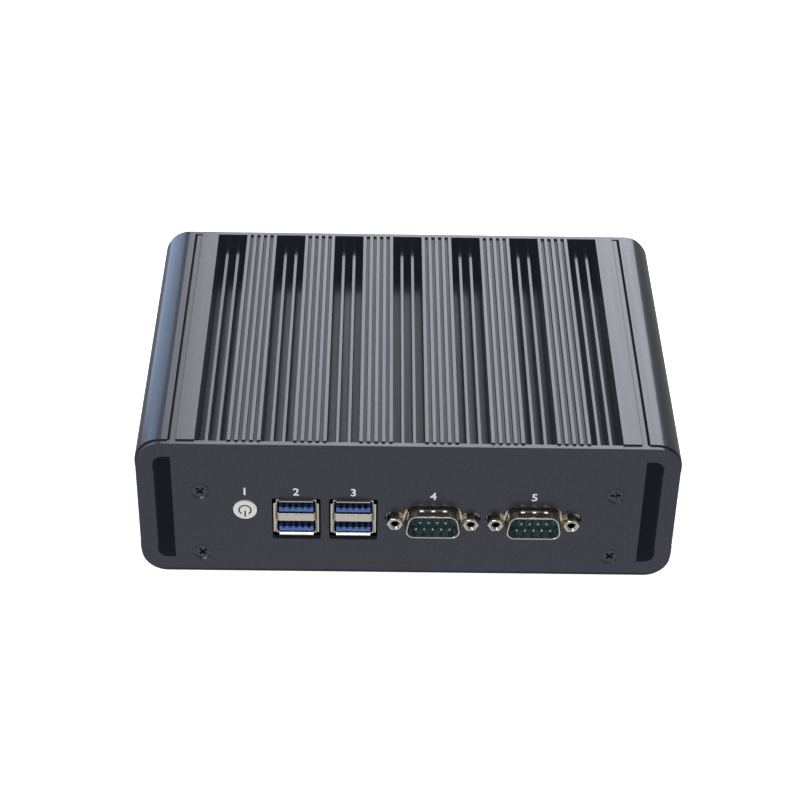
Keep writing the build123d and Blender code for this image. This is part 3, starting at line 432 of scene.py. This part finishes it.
def circuit_board(name):
    """Fibreglass board under green solder mask: copper shows through as lighter lines 1.5 mm apart."""
    material, tree, place = new_material(name)
    cells = add(tree, "ShaderNodeTexBrick",
                {"Scale": per_mm(6), "Color1": linear("#0e5a30"), "Color2": linear("#0b4d29"),
                 "Mortar": linear("#2a8a4c"), "Mortar Size": 0.012}, {"Vector": place})
    close(tree, add(tree, "ShaderNodeBsdfPrincipled", {"Roughness": 0.35},
                    {"Base Color": cells.outputs[0]}))
    return material


def ink(name, colour):
    """Pad-printed ink: flat and dry, with pinholes of about 0.25 mm where the grain shows through."""
    material, tree, place = new_material(name)
    grain = add(tree, "ShaderNodeTexNoise", {"Scale": per_mm(0.25), "Detail": 2}, {"Vector": place})
    tint = add(tree, "ShaderNodeMix", {6: toned(linear(colour), 0.85), 7: linear(colour)},
               {0: grain.outputs[0]}, data_type="RGBA")
    close(tree, add(tree, "ShaderNodeBsdfPrincipled", {"Roughness": 0.6},
                    {"Base Color": tint.outputs[2]}))
    return material


def dress(material, *names):
    """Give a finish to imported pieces."""
    for name in names:
        mesh = NODES[name].data
        mesh.materials.clear()
        mesh.materials.append(material)


def keep(name, mesh, material, body):
    """Make a finished object of a mesh, and let it ride on a body."""
    mesh.materials.clear()
    mesh.materials.append(material)
    piece = bpy.data.objects.new(name, mesh)
    bpy.context.scene.collection.objects.link(piece)
    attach(piece, body)
    return piece


def points(geom):
    """The vertices among some elements of a mesh."""
    return [v for v in geom if isinstance(v, bmesh.types.BMVert)]


def mesh_of(bm, name):
    """A mesh of what a bmesh holds, which is freed."""
    mesh = bpy.data.meshes.new(name)
    bm.to_mesh(mesh)
    bm.free()
    return mesh


def fresh_face(bm, before):
    """The one face that wasn't in the mesh before."""
    return next(f for f in bm.faces if f not in before)


def flat_shape(bm, low, high, top_share, z, corners):
    """A flat four-cornered face with round corners.

    low and high are its half width at the foot and its half height. top_share is its width at the top
    over its width at the foot. corners holds the cut along each edge at the foot and at the top.
    """
    before = set(bm.faces)
    verts = bmesh.ops.create_grid(bm, x_segments=1, y_segments=1, size=1)["verts"]
    bmesh.ops.scale(bm, verts=verts, vec=(low, high, 1))
    bmesh.ops.translate(bm, verts=verts, vec=(0, 0, z))
    foot = [v for v in verts if v.co.y < 0]
    top = [v for v in verts if v.co.y > 0]
    bmesh.ops.scale(bm, verts=top, vec=(top_share, 1, 1))
    for ends, cut in zip((foot, top), corners):
        bmesh.ops.bevel(bm, geom=ends, offset=cut, offset_type="OFFSET", affect="VERTICES",
                        segments=8, profile=0.5, material=-1)
    return fresh_face(bm, before)


def opened(bm, face):
    """Take a face away and give its edges."""
    edges = face.edges[:]
    bmesh.ops.delete(bm, geom=[face], context="FACES_ONLY")
    return edges


def circle(bm, radius, place, capped, segments=32):
    """A circle about a place: its face if it is capped, or else its edges."""
    before = set(bm.faces)
    bmesh.ops.create_circle(bm, cap_ends=True, segments=segments, radius=radius, matrix=place)
    face = fresh_face(bm, before)
    return face if capped else opened(bm, face)


def faced(face, way):
    """Flip a face if it looks against a direction."""
    face.normal_update()
    if face.normal.dot(way) < 0:
        face.normal_flip()


def raised(bm, face, inward, rise):
    """Draw a face up by one ring, inwards and along its normal."""
    bmesh.ops.inset_region(bm, faces=[face], thickness=inward, depth=rise, use_even_offset=True,
                           use_boundary=True)


def turned(bm, profile, segments=48):
    """Turn a profile of radius and height about Z."""
    verts = [bm.verts.new((radius, 0, z)) for radius, z in profile]
    edges = [bm.edges.new(pair) for pair in zip(verts, verts[1:])]
    bmesh.ops.spin(bm, geom=verts + edges, angle=2 * pi, steps=segments, axis=(0, 0, 1),
                   cent=(0, 0, 0), use_merge=True)
    bmesh.ops.remove_doubles(bm, verts=bm.verts, dist=TINY)


def settled(bm, name, places):
    """A mesh with a copy of the piece at each place, smooth except at its edges."""
    bmesh.ops.recalc_face_normals(bm, faces=bm.faces)
    single = bm.verts[:] + bm.edges[:] + bm.faces[:]
    for place in places[1:]:
        copy = bmesh.ops.duplicate(bm, geom=single)["geom"]
        bmesh.ops.transform(bm, matrix=place, verts=points(copy))
    bmesh.ops.transform(bm, matrix=places[0], verts=points(single))
    mesh = mesh_of(bm, name)
    mesh.shade_smooth()
    mesh.set_sharp_from_angle(angle=SHARP)
    return mesh


def facing(x, y, z, front, turn=0.0):
    """A place on the front or the rear, with the piece's own Z pointing out of the case."""
    about = 0 if front else pi
    return (Matrix.Translation((x, y, z)) @ Matrix.Rotation(about, 4, "Z")
            @ Matrix.Rotation(pi / 2, 4, "X") @ Matrix.Rotation(turn, 4, "Z"))


class COMPUTER_OT_case(bpy.types.Operator):
    """Finish the finned body and the two panels"""

    bl_idname = "computer.case"
    bl_label = "Case"

    def execute(self, context):
        settings = context.scene.computer_finish
        dress(anodised_aluminium("anodised_extrusion", settings, True), "heatsink_body")
        dress(anodised_aluminium("anodised_panel", settings, False), "front_panel", "rear_panel")
        return {"FINISHED"}


class COMPUTER_OT_underside(bpy.types.Operator):
    """Finish the bottom cover and the feet"""

    bl_idname = "computer.underside"
    bl_label = "Cover and feet"

    def execute(self, context):
        dress(coated_sheet("powder_coated_cover", "#1c1c1e"), "bottom_cover")
        # Nitrile rubber, moulded: nearly black and without a highlight.
        dress(moulded_plastic("foot_rubber", linear("#161616"), 0.8, 0.7), "rubber_feet")
        return {"FINISHED"}


def screw_bmesh(screw, length):
    """A countersunk screw with its face at Z = 0, and a thin lining of the seat that it is sunk in.

    The head and the shank are turned and the cross recess is pressed in.
    """
    bm = bmesh.new()
    # Steps in from the head's edge and down from its face, over the rim's size.
    edge = [(screw.head - screw.rim * inward, -screw.rim * down)
            for inward, down in ((1, 0), (0.3, 0.15), (0, 0.55), (0.106, 0.9))]
    turned(bm, edge + [(screw.shank, -screw.head_height), (screw.shank, -length + screw.rim),
                       (screw.shank - screw.rim, -length), (0, -length)])
    rim = [e for e in bm.edges if e.is_boundary and e.verts[0].co.z > -TINY]
    before = set(bm.faces)
    verts = bmesh.ops.create_grid(bm, x_segments=3, y_segments=3, size=screw.cross / 2)["verts"]
    thin = 3 * screw.slot / screw.cross
    for axis in (0, 1):
        inner = [v for v in verts if abs(v.co[axis]) < screw.cross / 3]
        bmesh.ops.scale(bm, verts=inner, vec=(1, thin, 1) if axis else (thin, 1, 1))
    arms = [f for f in bm.faces if f not in before]
    outside = [f for f in arms if min(abs(c) for c in f.calc_center_median()[:2]) > screw.slot / 2]
    arms = [f for f in arms if f not in outside]
    bmesh.ops.delete(bm, geom=outside, context="FACES")
    mouth = [e for f in arms for e in f.edges if e.is_boundary]
    floor = points(bmesh.ops.extrude_face_region(bm, geom=arms)["geom"])
    bmesh.ops.translate(bm, verts=floor, vec=(0, 0, -screw.cross_depth))
    bmesh.ops.scale(bm, verts=floor, vec=(screw.taper, screw.taper, 1))
    left = [f for f in arms if f.is_valid]
    bmesh.ops.delete(bm, geom=left, context="FACES_ONLY")
    bmesh.ops.delete(bm, geom=[e for e in bm.edges if e.is_wire and e not in mouth], context="EDGES")
    bmesh.ops.triangle_fill(bm, edges=rim + mouth, use_beauty=True, normal=(0, 0, 1))
    rise = screw.sunk + screw.collar
    narrow = screw.seat - screw.flare * rise
    turned(bm, [(narrow, 0), (screw.seat, rise), (screw.seat + screw.film, rise),
                (narrow + screw.film, 0), (narrow, 0)])
    return bm


class COMPUTER_OT_screws(bpy.types.Operator):
    """Put finer screws in the panels and the cover"""

    bl_idname = "computer.screws"
    bl_label = "Screws"

    def execute(self, context):
        screw = context.scene.computer_screw
        steel = oxide_steel("black_oxide_steel", "#2b2c30")
        # How far each panel screw happens to be turned, in degrees.
        turns = iter((42, 38, 2, 47, 20, 55, 71, 8))
        for node, front in (("front_panel_screws", True), ("rear_panel_screws", False)):
            low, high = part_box(node)
            face = low.y + screw.sunk if front else high.y - screw.sunk
            places = [facing(x, face, z, front, radians(next(turns)))
                      for x in (low.x + screw.reach, high.x - screw.reach)
                      for z in (high.z - screw.reach, low.z + screw.reach)]
            mesh = settled(screw_bmesh(screw, high.y - low.y - screw.sunk), node, places)
            piece = keep("turned_" + node, mesh, steel, CHASSIS)
            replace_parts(piece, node)
        low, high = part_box("bottom_cover_screws")
        places = [Matrix.Translation((x, y, low.z + screw.sunk)) @ Matrix.Rotation(pi, 4, "X")
                  for x in (low.x + screw.reach, high.x - screw.reach)
                  for y in (low.y + screw.reach, high.y - screw.reach)]
        mesh = settled(screw_bmesh(screw, high.z - low.z - screw.sunk), "cover_screws", places)
        piece = keep("turned_bottom_cover_screws", mesh, steel, CHASSIS)
        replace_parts(piece, "bottom_cover_screws")
        return {"FINISHED"}


def ring_stroke(centre, radius, width, film, gap):
    """An open flat ring in front of a point, with its gap at the bottom."""
    bm = bmesh.new()
    inner = [bm.verts.new((0, 0, width / 2 - radius)), bm.verts.new((0, 0, -width / 2 - radius))]
    edge = bm.edges.new(inner)
    turn = Matrix.Rotation(gap / 2, 3, "Y")
    bmesh.ops.rotate(bm, verts=inner, matrix=turn, cent=(0, 0, 0))
    bmesh.ops.spin(bm, geom=inner + [edge], angle=2 * pi - gap, steps=40, axis=(0, 1, 0),
                   cent=(0, 0, 0), use_merge=False)
    front = points(bmesh.ops.extrude_face_region(bm, geom=bm.faces[:])["geom"])
    bmesh.ops.translate(bm, verts=front, vec=(0, -film, 0))
    bmesh.ops.translate(bm, verts=bm.verts, vec=centre)
    bmesh.ops.recalc_face_normals(bm, faces=bm.faces)
    return bm


class COMPUTER_OT_button(bpy.types.Operator):
    """Finish the power button and print its symbol"""

    bl_idname = "computer.button"
    bl_label = "Power button"

    def execute(self, context):
        finish = context.scene.computer_finish
        marks = context.scene.computer_marks
        # ABS, moulded and polished: one soft highlight.
        dress(moulded_plastic("button_plastic", finish.cap, 0.32), "power_button")
        low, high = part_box("power_button")
        centre = Vector(((low.x + high.x) / 2, low.y, (low.z + high.z) / 2))
        bm = ring_stroke(centre, marks.symbol_radius, marks.line, marks.film, marks.symbol_gap)
        bar = bmesh.ops.create_cube(bm, size=1)["verts"]
        tall = marks.symbol_radius * marks.bar
        bmesh.ops.scale(bm, verts=bar, vec=(marks.line, marks.film, tall))
        bmesh.ops.translate(bm, verts=bar,
                            vec=centre + Vector((0, -marks.film / 2, -tall * marks.bar_drop)))
        mesh = mesh_of(bm, "power_symbol")
        keep("power_symbol", mesh, ink("symbol_ink", "#2b2a29"), BUTTON)
        return {"FINISHED"}


class COMPUTER_OT_usb(bpy.types.Operator):
    """Finish the USB sockets, the rear sockets' shells and the display socket's blue insert"""

    bl_idname = "computer.usb"
    bl_label = "USB sockets"

    def execute(self, context):
        finish = context.scene.computer_finish
        # Nickel on folded steel: a warm grey that flashes where it faces a light.
        plating = bright_metal("nickel_plated_usb", finish.plating, 0.24)
        dress(plating, "usb_1_shell", "usb_2_shell", "hdmi_shell", "lan_1_shell", "lan_2_shell")
        # Glass-filled polyester, moulded: satin.
        dress(moulded_plastic("blue_socket_plastic", finish.socket_plastic, 0.4), "usb_1_insert",
              "usb_2_insert", "vga_insert")
        # Tin on spring bronze: pale and bright.
        dress(bright_metal("tinned_contacts", linear("#e2ddcc"), 0.2), "usb_contacts")
        return {"FINISHED"}


def dimpled(bm, shell, face, side):
    """Press three wide dimples into a flat side of the shell, the top being side 1."""
    middle = face.calc_center_median()
    edges = opened(bm, face)
    dents = []
    for i in (-1, 0, 1):
        place = (Matrix.Translation((i * shell.dimple_pitch, middle.y, shell.length * shell.dimple_place))
                 @ Matrix.Rotation(-side * pi / 2, 4, "X")
                 @ Matrix.Scale(shell.dimple_stretch, 4, (1, 0, 0)))
        dents.append(circle(bm, shell.dimple, place, True, 24))
        edges += dents[-1].edges[:]
    bmesh.ops.triangle_fill(bm, edges=edges, use_beauty=True, normal=(0, side, 0))
    for dent in dents:
        faced(dent, Vector((0, side, 0)))
        # The rings' sizes over the dent's, which gets flatter towards its middle.
        was = 1
        for now in (0.8, 0.6, 0.4, 0.2):
            raised(bm, dent, shell.dimple * (was - now), -shell.dimple_depth * (was ** 2 - now ** 2))
            was = now


def shell_bmesh(shell, jack, size):
    """A drawn D shell on a flange of a size, with the flange's front at Z = 0 and the wide side down."""
    bm = bmesh.new()
    grown = shell.corner + shell.root
    high = shell.height / 2 + shell.root
    spread = 1 / tan((pi / 2 - shell.lean) / 2) - 1
    low = shell.width / 2 + shell.root + spread * grown
    cuts = (grown / tan((pi / 2 - shell.lean) / 2), grown / tan((pi / 2 + shell.lean) / 2))
    face = flat_shape(bm, low, high, 1 - 2 * high * tan(shell.lean) / low, 0, cuts)
    faced(face, OUT)
    # The root's rounding, a quarter circle in steps.
    steps = 5
    for i in range(steps):
        a, b = i / steps * pi / 2, (i + 1) / steps * pi / 2
        raised(bm, face, shell.root * (sin(b) - sin(a)), shell.root * (cos(a) - cos(b)))
    raised(bm, face, 0, shell.length - shell.root - shell.lip)
    # Two steps round the outer edge of the lip, inwards and outwards.
    for inward, rise in ((0.3, 0.7), (0.7, 0.3)):
        raised(bm, face, shell.lip * inward, shell.lip * rise)
    raised(bm, face, shell.wall - 2 * shell.lip, 0)
    raised(bm, face, shell.lip, -shell.lip)
    raised(bm, face, 0, shell.lip - shell.length - shell.flange)
    bore = opened(bm, face)
    root = [e for e in bm.edges if e.is_boundary and e not in bore]
    for side in (1, -1):
        flats = [f for f in bm.faces
                 if abs(f.calc_center_median().y - side * shell.height / 2) < shell.wall / 4]
        dimpled(bm, shell, max(flats, key=lambda f: f.calc_area()), side)
    sheets = []
    cuts = (shell.flange_corner, shell.flange_corner)
    for z in (0, -shell.flange):
        loops = [opened(bm, flat_shape(bm, size[0] / 2, size[1] / 2, 1, z, cuts))]
        for x in (-jack.spacing / 2, jack.spacing / 2):
            loops.append(circle(bm, jack.stud * shell.hole, Matrix.Translation((x, 0, z)), False))
        sheets.append(loops)
    for front, back in zip(*sheets):
        bmesh.ops.bridge_loops(bm, edges=front + back)
    for inner, loops, way in ((root, sheets[0], 1), (bore, sheets[1], -1)):
        bmesh.ops.triangle_fill(bm, edges=inner + sum(loops, []), use_beauty=True, normal=(0, 0, way))
    return bm


def jackscrew_bmesh(jack):
    """A hexagon jackscrew on its stud, with a rounded end and a countersunk bore."""
    bm = bmesh.new()
    face = circle(bm, jack.flats / 2 / cos(pi / 6), Matrix.Rotation(pi / 6, 4, "Z"), True, 6)
    faced(face, OUT)
    raised(bm, face, 0, jack.length - jack.crown)
    # Two steps of the rounded end, inwards and outwards, over its height.
    for inward, rise in ((0.55, 0.7), (0.75, 0.3)):
        raised(bm, face, jack.crown * inward, jack.crown * rise)
    edges = opened(bm, face)
    mouth = circle(bm, jack.mouth, Matrix.Translation((0, 0, jack.length)), True)
    edges += mouth.edges[:]
    bmesh.ops.triangle_fill(bm, edges=edges, use_beauty=True, normal=(0, 0, 1))
    faced(mouth, OUT)
    raised(bm, mouth, jack.mouth - jack.bore, jack.bore - jack.mouth)
    raised(bm, mouth, 0, -(jack.depth - jack.mouth + jack.bore))
    turned(bm, [(jack.stud, 0), (jack.stud, jack.tip - jack.stud_length),
                (jack.stud - jack.tip, -jack.stud_length), (0, -jack.stud_length)], 24)
    seat = [e for e in bm.edges if e.is_boundary]
    bmesh.ops.triangle_fill(bm, edges=seat, use_beauty=True, normal=(0, 0, -1))
    return bm


def pin_bmesh(pin, length):
    """A turned contact pin with a round nose, from Z = 0 outwards."""
    bm = bmesh.new()
    nose = [(pin.radius * cos(a), length - pin.radius * pin.nose * (1 - sin(a)))
            for a in (radians(angle) for angle in (0, 20, 40, 60, 78))]
    turned(bm, [(0, 0), (pin.radius, 0)] + nose + [(0, length)], 20)
    return bm


class COMPUTER_OT_d_connectors(bpy.types.Operator):
    """Put finer shells, jackscrews and pins on the D connectors"""

    bl_idname = "computer.d_connectors"
    bl_label = "D connectors"

    def execute(self, context):
        scene = context.scene
        shell = scene.computer_shell
        jack = scene.computer_jackscrew
        # Nickel on drawn steel: smoother than folded sheet, so its flashes are sharper.
        plating = bright_metal("nickel_plated_shell", scene.computer_finish.plating, 0.2)
        for node, front in (("com_1_shell", True), ("com_2_shell", True), ("vga_shell", False)):
            low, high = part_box(node)
            y = low.y + shell.length if front else high.y - shell.length
            place = facing((low.x + high.x) / 2, y, (low.z + high.z) / 2, front)
            size = (high.x - low.x, high.z - low.z)
            mesh = settled(shell_bmesh(shell, jack, size), node, [place])
            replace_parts(keep("drawn_" + node, mesh, plating, CHASSIS), node)
        # Nickel on turned steel: the brightest metal here.
        steel = bright_metal("nickel_jackscrews", linear("#e0dccf"), 0.16)
        for node, ports, front in (("com_jackscrews", ("com_1_shell", "com_2_shell"), True),
                                   ("vga_jackscrews", ("vga_shell",), False)):
            low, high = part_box(node)
            y = low.y + jack.length if front else high.y - jack.length
            centres = [sum(corner.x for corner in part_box(port)) / 2 for port in ports]
            places = [facing(x + side * jack.spacing / 2, y, (low.z + high.z) / 2, front)
                      for x in centres for side in (-1, 1)]
            mesh = settled(jackscrew_bmesh(jack), node, places)
            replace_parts(keep("turned_" + node, mesh, steel, CHASSIS), node)
        # A thin flash of gold on nickel: pale yellow.
        gold = bright_metal("gold_pins", linear("#ddd0ae"), 0.24)
        dress(gold, "dc_jack_pin")
        pin = scene.computer_pin
        low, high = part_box("com_pins")
        places = [facing(sum(c.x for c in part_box(port)) / 2 + (i - (count - 1) / 2) * pin.pitch, high.y,
                         (low.z + high.z + row * pin.row) / 2, True)
                  for port in ("com_1_shell", "com_2_shell") for count, row in ((4, 1), (5, -1))
                  for i in range(count)]
        mesh = settled(pin_bmesh(pin, high.y - low.y), "com_pins", places)
        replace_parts(keep("turned_com_pins", mesh, gold, CHASSIS), "com_pins")
        # Glass-filled polyester, moulded: satin.
        dress(moulded_plastic("teal_insulator", linear("#305f78"), 0.5), "com_1_insulator",
              "com_2_insulator")
        return {"FINISHED"}


class COMPUTER_OT_rear(bpy.types.Operator):
    """Finish the plastics of the rear sockets and the switch"""

    bl_idname = "computer.rear"
    bl_label = "Rear sockets"

    def execute(self, context):
        # Glass-filled nylon, moulded: black satin.
        dress(moulded_plastic("black_socket_plastic", linear("#191a1b"), 0.42), "dc_jack", "hdmi_insert",
              "lan_1_insert", "lan_2_insert", "audio_jacks", "antenna_hole_plugs", "switch_housing")
        return {"FINISHED"}


class COMPUTER_OT_boards(bpy.types.Operator):
    """Finish the boards and what they carry"""

    bl_idname = "computer.boards"
    bl_label = "Boards"

    def execute(self, context):
        dress(circuit_board("green_circuit_board"), "mainboard", "memory_module", "ssd_module")
        # Epoxy moulding compound: fine-grained and half matt.
        dress(moulded_plastic("chip_resin", linear("#202123"), 0.5, 0.2), "processor", "network_chips",
              "power_chokes")
        # Glass-filled polyester, moulded: black satin.
        dress(moulded_plastic("black_board_plastic", linear("#17181a"), 0.5), "memory_socket",
              "ssd_socket", "cell_holder")
        # Silicone filled with ceramic, rolled: grey and matt.
        dress(moulded_plastic("thermal_pad", linear("#9aa0a6"), 0.8), "thermal_pad")
        # Aluminium, extruded or drawn and left bare: soft and grey.
        dress(bright_metal("bare_aluminium", linear("#c9cacc"), 0.35), "heat_spreader",
              "power_capacitors")
        # Brass, turned and left bare: yellow.
        dress(bright_metal("turned_brass", linear("#c9a45a"), 0.25), "board_standoffs", "ssd_post")
        # Zinc-plated or stainless steel: grey and bright.
        dress(bright_metal("bright_steel", linear("#c4c4c2"), 0.25), "board_screws", "ssd_screw",
              "coin_cell", "switch_dome")
        return {"FINISHED"}


def figure_mesh(text, height, weight, film, centre):
    """A printed figure as a thin mesh on the front panel, centred on a point."""
    curve = bpy.data.curves.new("figure", "FONT")
    curve.body = text
    curve.size = height / FIGURE_SHARE
    curve.extrude = film / 2
    curve.offset = weight
    curve.resolution_u = 8
    curve.align_x = "CENTER"
    curve.align_y = "CENTER"
    holder = bpy.data.objects.new("figure", curve)
    bpy.context.scene.collection.objects.link(holder)
    bpy.context.view_layer.update()
    mesh = bpy.data.meshes.new_from_object(holder)
    bpy.data.objects.remove(holder)
    bm = bmesh.new()
    bm.from_mesh(mesh)
    bmesh.ops.remove_doubles(bm, verts=bm.verts, dist=TINY)
    bm.to_mesh(mesh)
    bm.free()
    mesh.transform(Matrix.Translation(centre) @ Matrix.Rotation(pi / 2, 4, "X"))
    return mesh


class COMPUTER_OT_numbers(bpy.types.Operator):
    """Print plain port numbers on the front panel"""

    bl_idname = "computer.numbers"
    bl_label = "Port numbers"

    def execute(self, context):
        marks = context.scene.computer_marks
        white = ink("white_ink", "#d8dade")
        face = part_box("front_panel")[0].y
        ports = ["power_button", "usb_1_shell", "usb_2_shell", "com_1_shell", "com_2_shell"]
        for number, port in enumerate(ports, start=1):
            low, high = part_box(port)
            height = marks.connector_line if port.startswith("com") else marks.socket_line
            centre = ((low.x + high.x) / 2, face - marks.film / 2, height)
            mesh = figure_mesh(str(number), marks.figure_height, marks.weight, marks.film, centre)
            keep(f"port_number_{number}", mesh, white, CHASSIS)
        return {"FINISHED"}


def area_light(name, place, target, width, height, radiance, colour):
    """A soft rectangular light of an even brightness, hidden from the camera."""
    data = bpy.data.lights.new(name, "AREA")
    data.shape = "RECTANGLE"
    data.size = width
    data.size_y = height
    data.energy = radiance * pi * width * height
    data.color = linear(colour)[:3]
    light = bpy.data.objects.new(name, data)
    light.location = place
    light.rotation_mode = "QUATERNION"
    light.rotation_quaternion = (Vector(target) - Vector(place)).to_track_quat("-Z", "Y")
    light.visible_camera = False
    bpy.context.scene.collection.objects.link(light)


class COMPUTER_OT_stage(bpy.types.Operator):
    """Set the floor, the lights and the camera"""

    bl_idname = "computer.stage"
    bl_label = "Stage"

    def execute(self, context):
        scene = context.scene
        stage = scene.computer_stage
        bm = bmesh.new()
        bmesh.ops.create_grid(bm, x_segments=1, y_segments=1, size=stage.floor_size)
        mesh = mesh_of(bm, "floor")
        floor = bpy.data.objects.new("floor", mesh)
        # Opal acrylic lit from below, as on a light table: no shadow's edge shows.
        material, tree, _ = new_material("pale_floor")
        close(tree, add(tree, "ShaderNodeBsdfPrincipled",
                        {"Base Color": toned(stage.floor_colour, 1), "Roughness": 0.9,
                         "Specular IOR Level": 0.1, "Emission Color": (1, 1, 1, 1),
                         "Emission Strength": stage.floor_glow}))
        mesh.materials.append(material)
        scene.collection.objects.link(floor)
        floor.visible_glossy = False
        world = bpy.data.worlds.new("soft_sky")
        world.use_nodes = True
        sky = world.node_tree.nodes["Background"]
        sky.inputs["Color"].default_value = linear("#fdfdff")
        sky.inputs["Strength"].default_value = stage.sky
        scene.world = world
        scene.view_settings.view_transform = "Standard"
        # The place, the target, the width and height, the radiance and the colour of each light.
        middle = (0, 0, 0.03)
        area_light("back_softbox", (0.235, 1.1, 0.85), middle, 0.9, 0.9, 4.5, "#f8f8fc")
        area_light("window", (-0.7, 1.12, 0.32), middle, 0.52, 1.1, 3.05, "#a4bee0")
        area_light("overhead_softbox", (0, -0.15, 1.2), middle, 0.7, 0.5, 3.5, "#ffffff")
        area_light("front_card", (0, -0.2, 0.004), (0, -0.2, 1), 0.6, 0.28, 0.37, "#f2f4ff")
        area_light("front_softbox", (-0.36, -0.76, 0.56), middle, 0.32, 0.25, 4.5, "#ffffff")
        forward = Vector((sin(stage.yaw) * cos(stage.pitch), cos(stage.yaw) * cos(stage.pitch),
                          -sin(stage.pitch)))
        data = bpy.data.cameras.new("camera")
        data.lens = stage.lens
        data.sensor_width = 36
        data.clip_start = 0.01
        camera = bpy.data.objects.new("camera", data)
        camera.location = stage.camera
        camera.rotation_mode = "QUATERNION"
        turn = Quaternion(forward, stage.roll)
        camera.rotation_quaternion = turn @ forward.to_track_quat("-Z", "Y")
        scene.collection.objects.link(camera)
        scene.camera = camera
        return {"FINISHED"}


class COMPUTER_PT_panel(bpy.types.Panel):
    """Lists the finishing steps"""

    bl_idname = "COMPUTER_PT_panel"
    bl_label = "Fanless Computer"
    bl_space_type = "VIEW_3D"
    bl_region_type = "UI"
    bl_category = "Computer"

    def draw(self, context):
        layout = self.layout
        for group in GROUPS:
            settings = getattr(context.scene, group)
            for name in settings.bl_rna.properties.keys():
                if name not in ("rna_type", "name"):
                    layout.prop(settings, name)
        for operator in OPERATORS:
            layout.operator(operator.bl_idname)


OPERATORS = (
    COMPUTER_OT_case,
    COMPUTER_OT_underside,
    COMPUTER_OT_screws,
    COMPUTER_OT_button,
    COMPUTER_OT_usb,
    COMPUTER_OT_d_connectors,
    COMPUTER_OT_rear,
    COMPUTER_OT_boards,
    COMPUTER_OT_numbers,
    COMPUTER_OT_stage,
)
GROUPS = {
    "computer_finish": FinishSettings,
    "computer_marks": MarkSettings,
    "computer_shell": ShellSettings,
    "computer_pin": PinSettings,
    "computer_jackscrew": JackscrewSettings,
    "computer_screw": ScrewSettings,
    "computer_stage": StageSettings,
}


def register():
    """Register the settings, the operators and the panel."""
    for name, group in GROUPS.items():
        bpy.utils.register_class(group)
        setattr(bpy.types.Scene, name, bpy.props.PointerProperty(type=group))
    for operator in OPERATORS:
        bpy.utils.register_class(operator)
    bpy.utils.register_class(COMPUTER_PT_panel)


def unregister():
    """Take the panel, the operators and the settings away again."""
    bpy.utils.unregister_class(COMPUTER_PT_panel)
    for operator in reversed(OPERATORS):
        bpy.utils.unregister_class(operator)
    for name, group in GROUPS.items():
        delattr(bpy.types.Scene, name)
        bpy.utils.unregister_class(group)


def main():
    """Run every step in order."""
    register()
    for operator in OPERATORS:
        family, step = operator.bl_idname.split(".")
        getattr(getattr(bpy.ops, family), step)()


if __name__ == "__main__":
    main()
